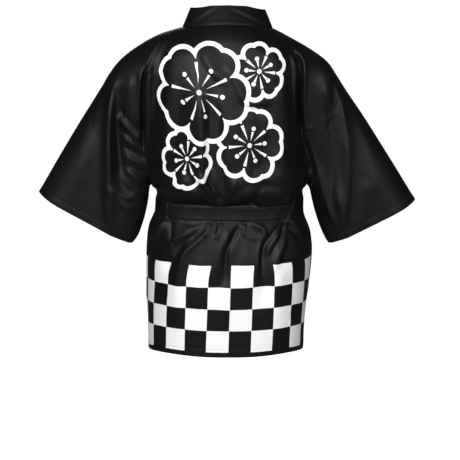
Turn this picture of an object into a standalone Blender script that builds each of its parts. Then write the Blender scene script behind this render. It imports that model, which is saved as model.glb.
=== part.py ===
"""Happi coat: a short straight-cut festival coat with wide sleeves, a stiff collar band that runs from hem
to hem round the neck, and a narrow belt. It hangs as it does when worn, hollow, with the left front over
the right.

The wearer's front is -Y, the wearer's left is +X and up is +Z. The origin is the middle of the neck, level
with the points where neck and shoulder meet, which is where the shoulders carry the coat. Sizes are in
millimetres and become metres when a mesh is made.

One smooth form is worked out first. Above the underarm it is a depth in front of or behind the plane y = 0,
for the body and the sleeves together, so that the two meet without a step at the armhole. Below the
underarm the same depth closes round the sides. Folds are then laid on that form, panels are cut out of
it along shared lines, and each becomes a wall of cloth.
"""
import math

import bpy
import numpy as np

# Cloth
CLOTH = 1.5                  # wall of the body and sleeves
BAND = 2.5                   # collar band, cloth folded round a stiffener
BELT = 2.0                   # belt, cloth folded double
SEAM_GAP = 0.3               # between two pieces at a seam
LAYER_GAP = 0.4              # between two layers that lie on each other

# Cut, as it falls on the figure
SHOULDER_END_LEFT = 264.0    # x where the shoulder line meets the left sleeve
SHOULDER_END_RIGHT = 250.0
UNDERARM_X = 177.0
UNDERARM_Z = -344.0
CUFF_TOP_LEFT = 437.0        # x of the outer corner of the cuff
CUFF_TOP_RIGHT = 429.0
CUFF_UNDER_Z = -481.0        # height of the inner corner of the cuff
NECK_LEFT = 101.0            # x of the point where neck and shoulder meet
NECK_RIGHT = 95.0
NECK_BACK = 75.0             # from that point back to the middle of the neckline
HEM_Z = -711.0               # hem at the centre back
HEM_DROP = 24.0              # how much lower it hangs at the sides and front
SIDE_SEAM_TURN = 34.0        # how far the side seams lie round to the front at the hem

# Collar band and belt
BAND_WIDTH = 48.0
BELT_TOP = -375.0
BELT_MIDDLE = -390.0
BELT_BOTTOM = -405.0
BELT_CLEAR = 0.6             # belt to the cloth behind it
TAIL_WIDTH = 30.0
TAIL_TOP = -407.9
KNOT_SIZE = (42.0, 16.0, 34.0)

# Form
SECTION_POWER = 2.6          # 2 is an ellipse, more is squarer
SHOULDER_ROUND = 65.0        # how far below the shoulder line the cloth reaches its full depth
ARCH_RADIUS = 10.0           # of the underarm, seen from the side
CREASE_SOFT = 15.0           # half width of the bottom of the armhole crease
SLEEVE_ROUND = 78.0          # how far from its lower fold the sleeve reaches its full depth
SLEEVE_DEPTH = 54.0          # half the sleeve's thickness at the armhole
CUFF_DEPTH = 45.0            # and at the cuff
LONGEST_MITRE = 2.2          # at a sharp seam, in wall thicknesses
FOLD_FADE = 26.0             # folds fade out this close to the plane y = 0
FLAT_FRONT = 58.0            # half width of the overlap down the front, which has no folds
LEFT_OVER = 3.0              # how far the left front stands proud of the right one

# Grids
NECK_COLUMNS = 6
SHOULDER_COLUMNS = 13        # also the columns of a front
SLEEVE_RINGS = np.array((0.0, 0.03, 0.1, 0.2, 0.3, 0.4, 0.5, 0.6, 0.7, 0.8, 0.9, 1.0))
BELT_COLUMNS = 84
FINE = 24                    # fine steps to a column, to spread the columns evenly
OUTWARD = 0.45               # how far the columns of the upper rows crowd towards the armhole
UPPER_ROWS = np.array((0.0, 0.015, 0.06, 0.13, 0.21, 0.30, 0.39, 0.48, 0.57, 0.66, 0.75, 0.84, 0.92,
                       0.97, 1.0))
LOWER_ROWS = np.array((UNDERARM_Z, -348.0, -356.0, -365.0, BELT_TOP, BELT_MIDDLE, BELT_BOTTOM, -413.0,
                       -426.0, -442.0, -464.0, -492.0, -526.0, -566.0, -612.0, -662.0, HEM_Z))


def table(columns, *rows):
    """Rows of numbers as arrays, each under its column's name."""
    return dict(zip(columns.split(), np.array(rows, float).T))


# Shoulder line and outer fold of the sleeve, seen from behind. Over the neck it is the top of the dome
# that the neckline is cut from.
RIDGE = table(
    "left_x left_z right_x right_z",
    (0, 38, 0, 38),
    (50, 28, 50, 27),
    (101, 5, 95, 3),
    (152, -11, 123, -12),
    (204, -39, 179, -43),
    (242, -68, 219, -72),
    (264, -94, 240, -101),
    (285, -127, 260, -131),
    (337, -205, 300, -187),
    (390, -288, 363, -281),
    (437, -364, 429, -382),
)

# Half width of the body: out to the armhole crease above the underarm, to the side below it.
HALF_WIDTH = table(
    "z left right",
    (40, 95, 92),
    (5, 112, 108),
    (-15, 126, 122),
    (-38, 144, 138),
    (-71, 165, 151),
    (-90, 177, 153),
    (-150, 182, 156),
    (-183, 184, 160),
    (-240, 186, 168),
    (-273, 186, 174),
    (-310, 183, 178),
    (-344, UNDERARM_X, UNDERARM_X),
    (-348, 171, 172),
    (-356, 166.5, 169),
    (-365, 164.5, 168),
    (BELT_TOP, 165.5, 168),
    (BELT_MIDDLE, 166.5, 168),
    (BELT_BOTTOM, 168, 168.5),
    (-413, 173, 171.5),
    (-431, 181, 178),
    (-449, 184, 184),
    (-496, 188, 190),
    (-566, 190, 186),
    (-601, 191.5, 183),
    (-676, 193, 179),
    (-740, 193, 177),
)

# Depth of the body behind and in front of the plane y = 0.
FULL_DEPTH = table(
    "z back front",
    (40, 90, 80),
    (0, 98, 90),
    (-50, 112, 101),
    (-100, 122, 109),
    (-150, 128, 114),
    (-200, 130, 116),
    (-250, 130, 115),
    (-300, 129, 113),
    (-344, 126, 110),
    (-348, 125.5, 109.5),
    (-356, 123.5, 107.5),
    (-365, 118.5, 104),
    (BELT_TOP, 113, 101),
    (BELT_MIDDLE, 111.5, 100),
    (BELT_BOTTOM, 112.5, 101),
    (-413, 117, 104.5),
    (-431, 125, 110),
    (-460, 131, 114),
    (-500, 137, 118),
    (-560, 141, 121),
    (-640, 143, 124),
    (-740, 145, 126),
)

# Lower fold of the sleeve, seen from behind.
SLEEVE_UNDER = table(
    "z left right",
    (UNDERARM_Z, UNDERARM_X, UNDERARM_X),
    (-348, 181.5, 182),
    (-358, 183.5, 186),
    (-375, 185.5, 190),
    (-405, 191.5, 198),
    (-440, 202, 210),
    (-465, 212, 221),
    (CUFF_UNDER_Z, 224, 231),
)

# Seam between a front and the collar band: its distance from the centre, towards its own side.
FRONT_EDGE = table(
    "z x",
    (UNDERARM_Z, 7),
    (-368, 0.8),
    (BELT_MIDDLE, -3),
    (-420, -4.6),
    (-460, -5),
    (-740, -5),
)

# Folds: each runs from (x0, z0) to (x1, z1), bowed sideways by bow in the middle, with the given half
# width, and stands out by rise, or in where rise is less than none.
FOLD_COLUMNS = "x0 z0 x1 z1 bow width rise"
BACK_FOLDS = table(
    FOLD_COLUMNS,
    # Armhole creases
    (140, -25, 187, -250, 9, 15, -7),
    (-136, -30, -172, -275, -7, 17, -6),
    # Long soft rolls down the back
    (72, -60, 58, -330, 4, 26, 5),
    (100, -130, 118, -335, -6, 14, -4),
    (26, -150, 14, -352, 3, 12, -5),
    (-10, -170, 2, -345, 0, 13, 3),
    (46, -36, 16, -96, 0, 13, 4),
    (0, -66, -84, -148, 8, 14, 4),
    (-62, -150, -78, -300, 5, 18, -4),
    (-108, -120, -118, -330, 4, 18, 4),
    # Cloth pushed up over the belt
    (120, -352, 16, -349, 12, 14, 6),
    (-2, -349, -150, -356, 12, 14, 6),
    (92, -300, 20, -360, -5, 12, -5),
    (-52, -300, 2, -358, 4, 12, -5),
    (-72, -331, -47, -368, 0, 8, -4),
    (-90, -250, -152, -345, 8, 13, 4),
    # Left sleeve
    (252, -118, 271, -452, -6, 13, 9),
    (292, -160, 322, -380, 4, 20, -5),
    (240, -130, 236, -345, -6, 12, -7),
    (244, -186, 200, -248, 4, 9, 5),
    (236, -214, 190, -264, 3, 8, -5),
    (226, -300, 196, -340, 0, 9, 5),
    (268, -344, 216, -402, -5, 9, 5),
    # Right sleeve
    (-208, -80, -268, -455, -12, 13, 9),
    (-262, -135, -330, -330, -5, 22, -5),
    (-216, -150, -240, -360, -4, 12, -7),
    (-181, -262, -245, -450, -3, 11, 5),
    (-306, -330, -296, -440, 0, 16, 4),
)
FRONT_FOLDS = table(
    FOLD_COLUMNS,
    # Armhole creases
    (146, -30, 187, -255, 9, 15, -8),
    (-138, -30, -172, -275, -7, 17, -7),
    # Chest
    (120, -60, 92, -250, 6, 22, 4),
    (-118, -60, -92, -250, -6, 22, 4),
    (150, -250, 60, -362, 6, 14, 5),
    (-150, -255, -60, -364, -6, 14, 5),
    (110, -230, 88, -366, 0, 12, -4),
    (-110, -240, -92, -366, 0, 12, -4),
    # Sleeves
    (256, -120, 276, -450, -6, 14, 8),
    (238, -140, 232, -350, -6, 12, -7),
    (320, -230, 350, -400, 5, 20, -5),
    (-222, -100, -272, -452, -10, 14, 8),
    (-214, -160, -236, -360, -4, 12, -7),
    (-312, -240, -342, -410, -5, 20, -5),
)

# Gathers below the belt and slack above it, at an angle in degrees from the centre back, positive
# towards the wearer's left.
SKIRT_FOLDS = table(
    "x0 z0 x1 z1 bow width rise",
    (52, -404, 68, -470, 0, 6.5, 5),
    (17, -404, 45, -520, -3, 6, -7),
    (27, -408, 38, -600, 0, 5, 5),
    (-8, -404, 8, -560, 4, 6.5, -7),
    (-2, -420, 1, -640, 0, 6, 4),
    (-16, -404, -23, -600, 4, 6.5, -6),
    (-36, -406, -34, -560, 0, 6, 5),
    (-46, -404, -36, -520, -3, 6, -6),
    (-62, -404, -76, -470, 0, 7, 5),
    (84, -408, 94, -640, 2, 8, 5),
    (100, -406, 108, -540, 0, 6, -5),
    (122, -408, 118, -640, 2, 8, 5),
    (138, -406, 140, -560, 0, 6, -4),
    (-88, -408, -96, -620, 2, 8, 5),
    (-104, -406, -108, -540, 0, 6, -5),
    (-122, -408, -120, -640, 2, 8, 5),
    (-138, -406, -142, -560, 0, 6, -4),
)


def smooth(t):
    """Eases from 0 to 1 as t goes from 0 to 1."""
    t = np.clip(t, 0.0, 1.0)
    return t * t * (3.0 - 2.0 * t)


def spline(xs, ys, x):
    """Smooth curve through points that never overshoots them.

    On each span it is a cubic, whose slope at a point is the harmonic mean of the slopes on its two sides,
    and level where they turn. Beyond the last points it runs on straight.
    """
    order = np.argsort(xs)
    xs, ys = xs[order], ys[order]
    step = np.diff(xs)
    rise = np.diff(ys) / step
    before, after = rise[:-1], rise[1:]
    turning = before * after <= 0.0
    weight_before, weight_after = 2.0 * step[1:] + step[:-1], step[1:] + 2.0 * step[:-1]
    mean = (weight_before + weight_after) / (
        weight_before / np.where(turning, 1.0, before) + weight_after / np.where(turning, 1.0, after))
    slope = np.concatenate((rise[:1], np.where(turning, 0.0, mean), rise[-1:]))
    span = np.clip(np.searchsorted(xs, x, side="right") - 1, 0, len(xs) - 2)
    t = np.clip((x - xs[span]) / step[span], 0.0, 1.0)
    value = ((1 + 2 * t) * (1 - t) ** 2 * ys[span] + t * (1 - t) ** 2 * step[span] * slope[span]
             + t * t * (3 - 2 * t) * ys[span + 1] - t * t * (1 - t) * step[span] * slope[span + 1])
    beyond = x - np.clip(x, xs[0], xs[-1])
    return value + beyond * np.where(x < xs[0], slope[0], slope[-1])


def ridge(x):
    """Height of the shoulder line, or of the sleeve's outer fold, at x."""
    across = np.abs(x)
    return np.where(np.asarray(x) >= 0.0, spline(RIDGE["left_x"], RIDGE["left_z"], across),
                    spline(RIDGE["right_x"], RIDGE["right_z"], across))


def below_ridge(x, z):
    """Distance from the shoulder line, measured square to it."""
    reach = 2.0
    slope = (ridge(x + reach) - ridge(x - reach)) / (2.0 * reach)
    return np.maximum(ridge(x) - z, 0.0) / np.sqrt(1.0 + slope ** 2)


def of_side(rows, x, z):
    """Value at height z in the column of the side that x lies on."""
    return np.where(np.asarray(x) >= 0.0, spline(rows["z"], rows["left"], z),
                    spline(rows["z"], rows["right"], z))


def along_sleeve(x, z):
    """How far a point lies from armhole to cuff, from 0 to 1."""
    left = np.asarray(x) >= 0.0
    start_x = np.where(left, SHOULDER_END_LEFT, SHOULDER_END_RIGHT)
    end_x = np.where(left, CUFF_TOP_LEFT, CUFF_TOP_RIGHT)
    start_z, end_z = ridge(np.where(left, start_x, -start_x)), ridge(np.where(left, end_x, -end_x))
    run_x, run_z = end_x - start_x, end_z - start_z
    along = (np.abs(x) - start_x) * run_x + (z - start_z) * run_z
    return np.clip(along / (run_x ** 2 + run_z ** 2), 0.0, 1.0)


def depth(x, z, face, sleeve=False):
    """How far the smooth form stands from the plane y = 0, behind it or in front.

    The square of the depth grows from the armhole crease, or the side, towards the middle of the body and
    of the sleeve as it does on an ellipse. The whole is rounded down to nothing at the shoulder line.
    """
    arch = np.maximum(z - UNDERARM_Z, 0.0)
    crease = 2.0 * ARCH_RADIUS * arch
    half = of_side(HALF_WIDTH, x, z)
    if sleeve:
        half = np.where(z < UNDERARM_Z, of_side(SLEEVE_UNDER, x, z), half)
    inside = half - np.abs(x)
    soft = CREASE_SOFT * smooth(arch / 60.0) + 1e-6
    off = np.sqrt(inside ** 2 + soft ** 2) - soft
    full = spline(FULL_DEPTH["z"], FULL_DEPTH[face], z)
    body = crease + (full ** 2 - crease) * (1.0 - (1.0 - np.clip(off / half, 0.0, 1.0)) ** SECTION_POWER)
    arm_full = SLEEVE_DEPTH + (CUFF_DEPTH - SLEEVE_DEPTH) * along_sleeve(x, z)
    arm = crease + (arm_full ** 2 - crease) * (1.0 - (1.0 - np.clip(off / SLEEVE_ROUND, 0.0, 1.0)) ** 2)
    on_arm = inside < 0.0 if not sleeve else np.full(np.shape(inside), True) & (inside < 1e-3)
    square = np.maximum(np.where(on_arm, arm, body), 0.0)
    rounding = 1.0 - (1.0 - np.clip(below_ridge(x, z) / SHOULDER_ROUND, 0.0, 1.0)) ** 2
    sharpness = 0.5 + 0.2 * smooth((np.abs(x) - 230.0) / 80.0)
    return np.sqrt(square) * rounding ** sharpness


def folds(rows, u, v):
    """Height of all the folds in a table at (u, v).

    Each is a bell across its bowed line, and fades in and out along it.
    """
    total = np.zeros(np.broadcast(u, v).shape)
    for u0, v0, u1, v1, bow, width, rise in zip(*rows.values()):
        run_u, run_v = u1 - u0, v1 - v0
        length = math.hypot(run_u, run_v)
        t = ((u - u0) * run_u + (v - v0) * run_v) / length ** 2
        off = ((u - u0) * run_v - (v - v0) * run_u) / length - 4.0 * bow * t * (1.0 - t)
        ends = smooth(t / 0.35 + 0.35) * smooth((1.0 - t) / 0.35 + 0.35)
        total = total + rise * np.exp(-(off / width) ** 2) * ends
    return total


def fold_over(point, body=True):
    """Lays the folds on points of the smooth form, and lets the hem drop towards the sides and front."""
    x, y, z = point[..., 0], point[..., 1], point[..., 2]
    in_front = folds(FRONT_FOLDS, x, z) * smooth((np.abs(x) - FLAT_FRONT) / FOLD_FADE)
    rise = np.where(y >= 0.0, folds(BACK_FOLDS, x, z), in_front)
    rise = rise * smooth(np.abs(y) / FOLD_FADE)
    moved = point.copy()
    if not body:
        moved[..., 1] += np.sign(y) * rise
        return moved
    calm = smooth((np.abs(z - BELT_MIDDLE) - 15.0) / 22.0)
    moved[..., 1] += np.sign(y) * rise * calm * smooth((z - BELT_MIDDLE) / 10.0)
    half = of_side(HALF_WIDTH, x, z)
    full = np.where(y >= 0.0, spline(FULL_DEPTH["z"], FULL_DEPTH["back"], z),
                    spline(FULL_DEPTH["z"], FULL_DEPTH["front"], z))
    angle = np.degrees(np.arctan2(x / half, y / full))
    out = np.stack((x / half ** 2, y / full ** 2), -1)
    out = out / np.maximum(np.linalg.norm(out, axis=-1, keepdims=True), 1e-9)
    gather = folds(SKIRT_FOLDS, angle, z) * calm * smooth((BELT_MIDDLE - z) / 10.0)
    moved[..., :2] += out * gather[..., None]
    low = np.clip((BELT_BOTTOM - z) / (BELT_BOTTOM - HEM_Z), 0.0, 1.0)
    moved[..., 2] -= HEM_DROP * low * smooth((140.0 - y) / 140.0)
    return moved


def section(z):
    """Closed outline of the smooth body at one height, and the length along it.

    It starts at the centre back and runs to the wearer's left, round the front and back.
    """
    turn = np.linspace(0.0, 2.0 * math.pi, 1441)
    sine, cosine = np.sin(turn), np.cos(turn)
    half = of_side(HALF_WIDTH, sine, np.full(turn.shape, float(z)))
    full = np.where(cosine >= 0.0, spline(FULL_DEPTH["z"], FULL_DEPTH["back"], z),
                    spline(FULL_DEPTH["z"], FULL_DEPTH["front"], z))
    x = half * np.sign(sine) * np.abs(sine) ** (2.0 / SECTION_POWER)
    y = full * cosine
    steps = np.hypot(np.diff(x), np.diff(y))
    return x, y, np.concatenate(([0.0], np.cumsum(steps)))


def at_arc(z, arc):
    """Points of a section, given by their distance along it from the centre back."""
    x, y, along = section(z)
    arc = np.mod(arc, along[-1])
    return np.stack((np.interp(arc, along, x), np.interp(arc, along, y), np.full(arc.shape, float(z))), -1)


def marks(z, side):
    """Distance along a section from the centre back to the side and to the centre front, on one side."""
    along = section(z)[2]
    last = len(along) - 1
    if side > 0:
        return along[last // 4], along[last // 2]
    return along[last] - along[3 * last // 4], along[last] - along[last // 2]


def side_seam(z, side):
    """Distance along a section from the centre back to the side seam."""
    turn = SIDE_SEAM_TURN * smooth((UNDERARM_Z - z) / (UNDERARM_Z - HEM_Z))
    return marks(z, side)[0] + turn


def shoulder_end(side):
    return SHOULDER_END_LEFT if side > 0 else SHOULDER_END_RIGHT


def neck_side(side):
    return NECK_LEFT if side > 0 else NECK_RIGHT


def neckline(side, steps):
    """Back of the neckline on one side, from the centre back to the shoulder: a quarter of an oval, seen
    from above. Its height is where the smooth form has that depth, found by halving."""
    turn = np.linspace(0.0, math.pi / 2.0, steps + 1)
    x = side * neck_side(side) * np.sin(turn)
    y = NECK_BACK * np.cos(turn)
    high = ridge(x)
    low = high - SHOULDER_ROUND
    for _ in range(48):
        middle = (high + low) / 2.0
        beyond = depth(x, middle, "back") > y
        high, low = np.where(beyond, high, middle), np.where(beyond, middle, low)
    z = (high + low) / 2.0
    return np.stack((x, z), -1)


def shoulder_line(side, steps):
    """Points in x and z along the shoulder line, from the neck to the armhole."""
    x = side * np.linspace(neck_side(side), shoulder_end(side), steps + 1)
    return np.stack((x, ridge(x)), -1)


def upper_rows(top, bottom, face):
    """Panel above the underarm, from fine points along its top edge and along the underarm row.

    A row lies a share of the way from the one to the other, at the depth of the smooth form. Its columns
    start where the top edge has them and are spread evenly further down, or a little closer together by
    the armhole crease.
    """
    columns = (len(top) - 1) // FINE
    even = np.linspace(0.0, 1.0, columns + 1)
    sign = 1.0 if face == "back" else -1.0
    first = None
    rows = []
    for share in UPPER_ROWS:
        x, z = (top * (1.0 - share) + bottom * share).T
        line = np.stack((x, sign * depth(x, z, face), z), -1)
        along = np.concatenate(([0.0], np.cumsum(np.linalg.norm(np.diff(line, axis=0), axis=1))))
        along /= along[-1]
        if first is None:
            first = along[::FINE]
        place = first + (even - first) * smooth(share)
        place = place + OUTWARD * share * (1.0 - share) * np.sin(math.pi * place)
        rows.append(np.stack([np.interp(place, along, line[:, axis]) for axis in range(3)], -1))
    return np.stack(rows)


def back_half(side):
    """Half of the back panel on the smooth form, columns from the centre back to the armhole and side."""
    top = np.concatenate((neckline(side, NECK_COLUMNS * FINE),
                          shoulder_line(side, SHOULDER_COLUMNS * FINE)[1:]))
    share = np.linspace(0.0, 1.0, len(top))
    bottom = at_arc(UNDERARM_Z, side * share * side_seam(UNDERARM_Z, side))
    lower = np.stack([at_arc(z, side * share[::FINE] * side_seam(z, side)) for z in LOWER_ROWS])
    return np.concatenate((upper_rows(top, bottom[:, (0, 2)], "back")[:-1], lower))


def front_edge(z):
    return spline(FRONT_EDGE["z"], FRONT_EDGE["x"], z)


def front_panel(side):
    """A front on the smooth form, columns from the armhole and side seam to the edge by the collar band."""
    top = shoulder_line(side, SHOULDER_COLUMNS * FINE)[::-1]
    share = np.linspace(0.0, 1.0, len(top))

    def row(z, share):
        start, end = side_seam(z, side), marks(z, side)[1] - front_edge(z)
        return at_arc(z, side * (start + (end - start) * share))

    upper = upper_rows(top, row(UNDERARM_Z, share)[:, (0, 2)], "front")
    return np.concatenate((upper[:-1], np.stack([row(z, share[::FINE]) for z in LOWER_ROWS])))


def over_right(x, z):
    """How far the left front stands proud, to clear the right front and its band."""
    return LEFT_OVER * (1.0 - smooth((x - 80.0) / 50.0)) * smooth((-90.0 - z) / 60.0)


def sleeve_tube(side):
    """A sleeve on the smooth form: rows go round from the outer fold, down the back, under the lower fold
    and up the front; columns go from the armhole to the cuff."""
    s = SLEEVE_RINGS
    top_x = side * (shoulder_end(side) * (1.0 - s) + (CUFF_TOP_LEFT if side > 0 else CUFF_TOP_RIGHT) * s)
    top = np.stack((top_x, ridge(top_x)), -1)
    under_z = UNDERARM_Z * (1.0 - s) + CUFF_UNDER_Z * s
    under = np.stack((side * of_side(SLEEVE_UNDER, side * np.ones_like(s), under_z), under_z), -1)
    t = UPPER_ROWS[:, None, None]
    flat = top[None] * (1.0 - t) + under[None] * t
    x, z = flat[..., 0], flat[..., 1]
    back = np.stack((x, depth(x, z, "back", True), z), -1)
    front = np.stack((x, -depth(x, z, "front", True), z), -1)
    return np.concatenate((back, front[-2:0:-1]))


def band_lying(side, base, width):
    """Point of the collar band where it lies on a front, at a distance from its seam.

    It is measured square to the seam above the belt, and level below it.
    """
    tilt = math.radians(15.0) * smooth((base[..., 2] - BELT_MIDDLE) / 90.0)
    x = base[..., 0] - side * width * np.cos(tilt)
    z = base[..., 2] + width * np.sin(tilt)
    point = np.stack((x, -depth(x, z, "front"), z), -1)
    return point


def band_half(side, front, back):
    """Half of the collar band, stations from the hem to the centre back, rows from its seam outwards.

    On the chest it lies on the front. Towards the neck it turns up until it stands, leaning in.
    """
    stations = front[::-1, -1]
    unfolded = front_panel(side)[::-1, -1]
    neck_rows = np.concatenate((np.zeros(len(LOWER_ROWS) - 1), 1.0 - UPPER_ROWS[::-1]))
    stand = smooth((neck_rows - 0.52) / 0.48)
    turn = math.pi / 2.0 + math.radians(50.0) * (1.0 - stand)
    base = np.concatenate((stations, back[0, NECK_COLUMNS - 1::-1]))
    turn = np.concatenate((turn, np.linspace(math.pi / 2.0, 0.0, NECK_COLUMNS + 1)[1:]))
    stand = np.concatenate((stand, np.ones(NECK_COLUMNS)))
    lean = np.radians(28.0 + 18.0 * np.cos(turn) ** 2)
    up = np.stack((-side * np.sin(turn) * np.sin(lean), -np.cos(turn) * np.sin(lean), np.cos(lean)), -1)
    rows = [base]
    for width in (BAND_WIDTH / 2.0, BAND_WIDTH):
        lying = fold_over(band_lying(side, unfolded, width))
        if side > 0:
            lying[..., 1] -= over_right(lying[..., 0], lying[..., 2])
        reach = np.concatenate((lying - stations, np.zeros((NECK_COLUMNS, 3))))
        reach = reach * (1.0 - stand[:, None]) + width * up * stand[:, None]
        free = reach * width / np.linalg.norm(reach, axis=-1, keepdims=True)
        free[stand == 0.0] = reach[stand == 0.0]
        rows.append(base + free)
    return np.stack(rows)


def shared_normals(grids):
    """Ways out of several grids that share points at their seams: at each point the mean normal of the
    faces that meet there, whichever grid they belong to.

    It is longer where they meet at an angle, as a mitre is, so that a wall keeps its thickness there.
    """
    points = np.concatenate([grid.reshape(-1, 3) for grid in grids])
    place = np.unique(np.round(points, 3), axis=0, return_inverse=True)[1].reshape(-1)
    total = np.zeros((place.max() + 1, 3))
    size = np.zeros(place.max() + 1)
    start = 0
    for grid in grids:
        index = place[start:start + grid.shape[0] * grid.shape[1]].reshape(grid.shape[:2])
        start += index.size
        across = grid[1:, 1:] - grid[:-1, :-1]
        other = grid[:-1, 1:] - grid[1:, :-1]
        face = np.cross(across, other)
        area = np.linalg.norm(face, axis=-1)
        for corner in (index[:-1, :-1], index[1:, :-1], index[:-1, 1:], index[1:, 1:]):
            np.add.at(total, corner.reshape(-1), face.reshape(-1, 3))
            np.add.at(size, corner.reshape(-1), area.reshape(-1))
    length = np.linalg.norm(total, axis=1)
    total *= (np.minimum(size / length, LONGEST_MITRE) / length)[:, None]
    normals, start = [], 0
    for grid in grids:
        count = grid.shape[0] * grid.shape[1]
        normals.append(total[place[start:start + count]].reshape(grid.shape))
        start += count
    return normals


def open_seams(grid, edges):
    """Draws the named edges of a grid back by half the seam gap, along the cloth."""
    grid = grid.copy()
    half = SEAM_GAP / 2.0
    for edge in edges:
        rim, inner = {
            "top": (np.s_[0], np.s_[1]),
            "bottom": (np.s_[-1], np.s_[-2]),
            "first": (np.s_[:, 0], np.s_[:, 1]),
            "last": (np.s_[:, -1], np.s_[:, -2]),
        }[edge]
        way = grid[inner] - grid[rim]
        grid[rim] += half * way / np.linalg.norm(way, axis=-1, keepdims=True)
    return grid


def wall(name, outer, inner, material, round_rows=False):
    """One closed solid between two grids of the same shape: the outer face, the inner face and the rims.

    With round_rows the rows close on themselves, as round a sleeve, and only two rims are left.
    """
    rows, columns = outer.shape[:2]
    count = rows * columns
    index = np.arange(count).reshape(rows, columns)
    if round_rows:
        index = np.concatenate((index, index[:1]))
    quads = np.stack((index[:-1, :-1], index[:-1, 1:], index[1:, 1:], index[1:, :-1]), -1).reshape(-1, 4)
    rims = [index[:, 0], index[::-1, -1]] if round_rows else [
        np.concatenate((index[:, 0], index[-1, 1:], index[-2::-1, -1], index[0, -2::-1]))]
    points = np.concatenate((outer.reshape(-1, 3), inner.reshape(-1, 3))) / 1000.0
    halves = np.concatenate((quads[:, (0, 1, 2)], quads[:, (0, 2, 3)]))
    rim = np.concatenate([np.stack((rim[:-1], rim[1:], rim[1:] + count, rim[:-1] + count), -1)
                          for rim in rims])
    diagonals = np.linalg.norm(points[rim[:, (0, 1)]] - points[rim[:, (2, 3)]], axis=-1)
    rim = np.where(diagonals[:, :1] > diagonals[:, 1:], np.roll(rim, -1, axis=1), rim)
    halves = np.concatenate((halves, halves[:, ::-1] + count, rim[:, (0, 1, 2)], rim[:, (0, 2, 3)]))
    corner = points[halves]
    volume = np.einsum("ij,ij->i", corner[:, 0], np.cross(corner[:, 1], corner[:, 2])).sum()
    if volume < 0.0:
        halves = halves[:, ::-1]
    mesh = bpy.data.meshes.new(name)
    mesh.from_pydata(points.tolist(), [], halves.tolist())
    mesh.validate()
    mesh.shade_smooth()
    mesh.set_sharp_from_angle(angle=math.radians(40.0))
    mesh.materials.append(material)
    piece = bpy.data.objects.new(name, mesh)
    bpy.context.scene.collection.objects.link(piece)
    return piece


def cloth_material(name, colour, roughness):
    material = bpy.data.materials.new(name)
    material.use_nodes = True
    shader = material.node_tree.nodes["Principled BSDF"]
    shader.inputs["Base Color"].default_value = (*colour, 1.0)
    shader.inputs["Roughness"].default_value = roughness
    shader.inputs["Metallic"].default_value = 0.0
    return material


BLACK = (0.012, 0.012, 0.014)


def build_coat():
    """Body, sleeves and collar band, which share their seams."""
    left_back, right_back = fold_over(back_half(1)), fold_over(back_half(-1))
    back = np.concatenate((right_back[:, :0:-1], left_back), axis=1)
    fronts = {}
    for side in (1, -1):
        fronts[side] = fold_over(front_panel(side))
    fronts[1][..., 1] -= over_right(fronts[1][..., 0], fronts[1][..., 2])
    sleeves = {side: fold_over(sleeve_tube(side), body=False) for side in (1, -1)}
    bands = {1: band_half(1, fronts[1], left_back), -1: band_half(-1, fronts[-1], right_back)}
    band = np.concatenate((bands[1], bands[-1][:, -2::-1]), axis=1)

    closed = {side: np.concatenate((sleeves[side], sleeves[side][:1])) for side in (1, -1)}
    turned = [back, fronts[1], fronts[-1][:, ::-1], closed[1], closed[-1][:, ::-1], band]
    normals = shared_normals(turned)
    normal_back, normal_left, normal_right, normal_sleeve_left, normal_sleeve_right, normal_band = normals
    outwards = np.sign(np.sum(normal_back[20, 18] * (0.0, 1.0, 0.0)))
    for which in normals:
        which *= outwards
    normal_right = normal_right[:, ::-1]
    normal_sleeve_right = normal_sleeve_right[:, ::-1]

    def cloth_wall(name, grid, normal, edges, **more):
        outer = open_seams(grid, edges)
        inner = open_seams(grid - CLOTH * normal, edges)
        wall(name, outer, inner, cloth_material(name + "_cloth", BLACK, 0.55), **more)

    all_but_hem = ("top", "first", "last")
    cloth_wall("back_panel", back, normal_back, all_but_hem)
    cloth_wall("front_left", fronts[1], normal_left, all_but_hem)
    cloth_wall("front_right", fronts[-1], normal_right, all_but_hem)
    cloth_wall("sleeve_left", sleeves[1], normal_sleeve_left[:-1], ("first",), round_rows=True)
    cloth_wall("sleeve_right", sleeves[-1], normal_sleeve_right[:-1], ("first",), round_rows=True)

    proud = np.linspace(BAND - CLOTH, 0.1, band.shape[1])[None, :, None]
    outer = open_seams(band + proud * normal_band, ("top",))
    inner = open_seams(band + (proud - BAND) * normal_band, ("top",))
    wall("collar_band", outer, inner, cloth_material("collar_cloth", BLACK, 0.5))


def front_surface(x, z, out):
    """Points a distance out from the front of the coat."""
    point = fold_over(np.stack((x, -depth(x, z, "front"), z), -1))
    point[..., 1] -= out
    return point


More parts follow.
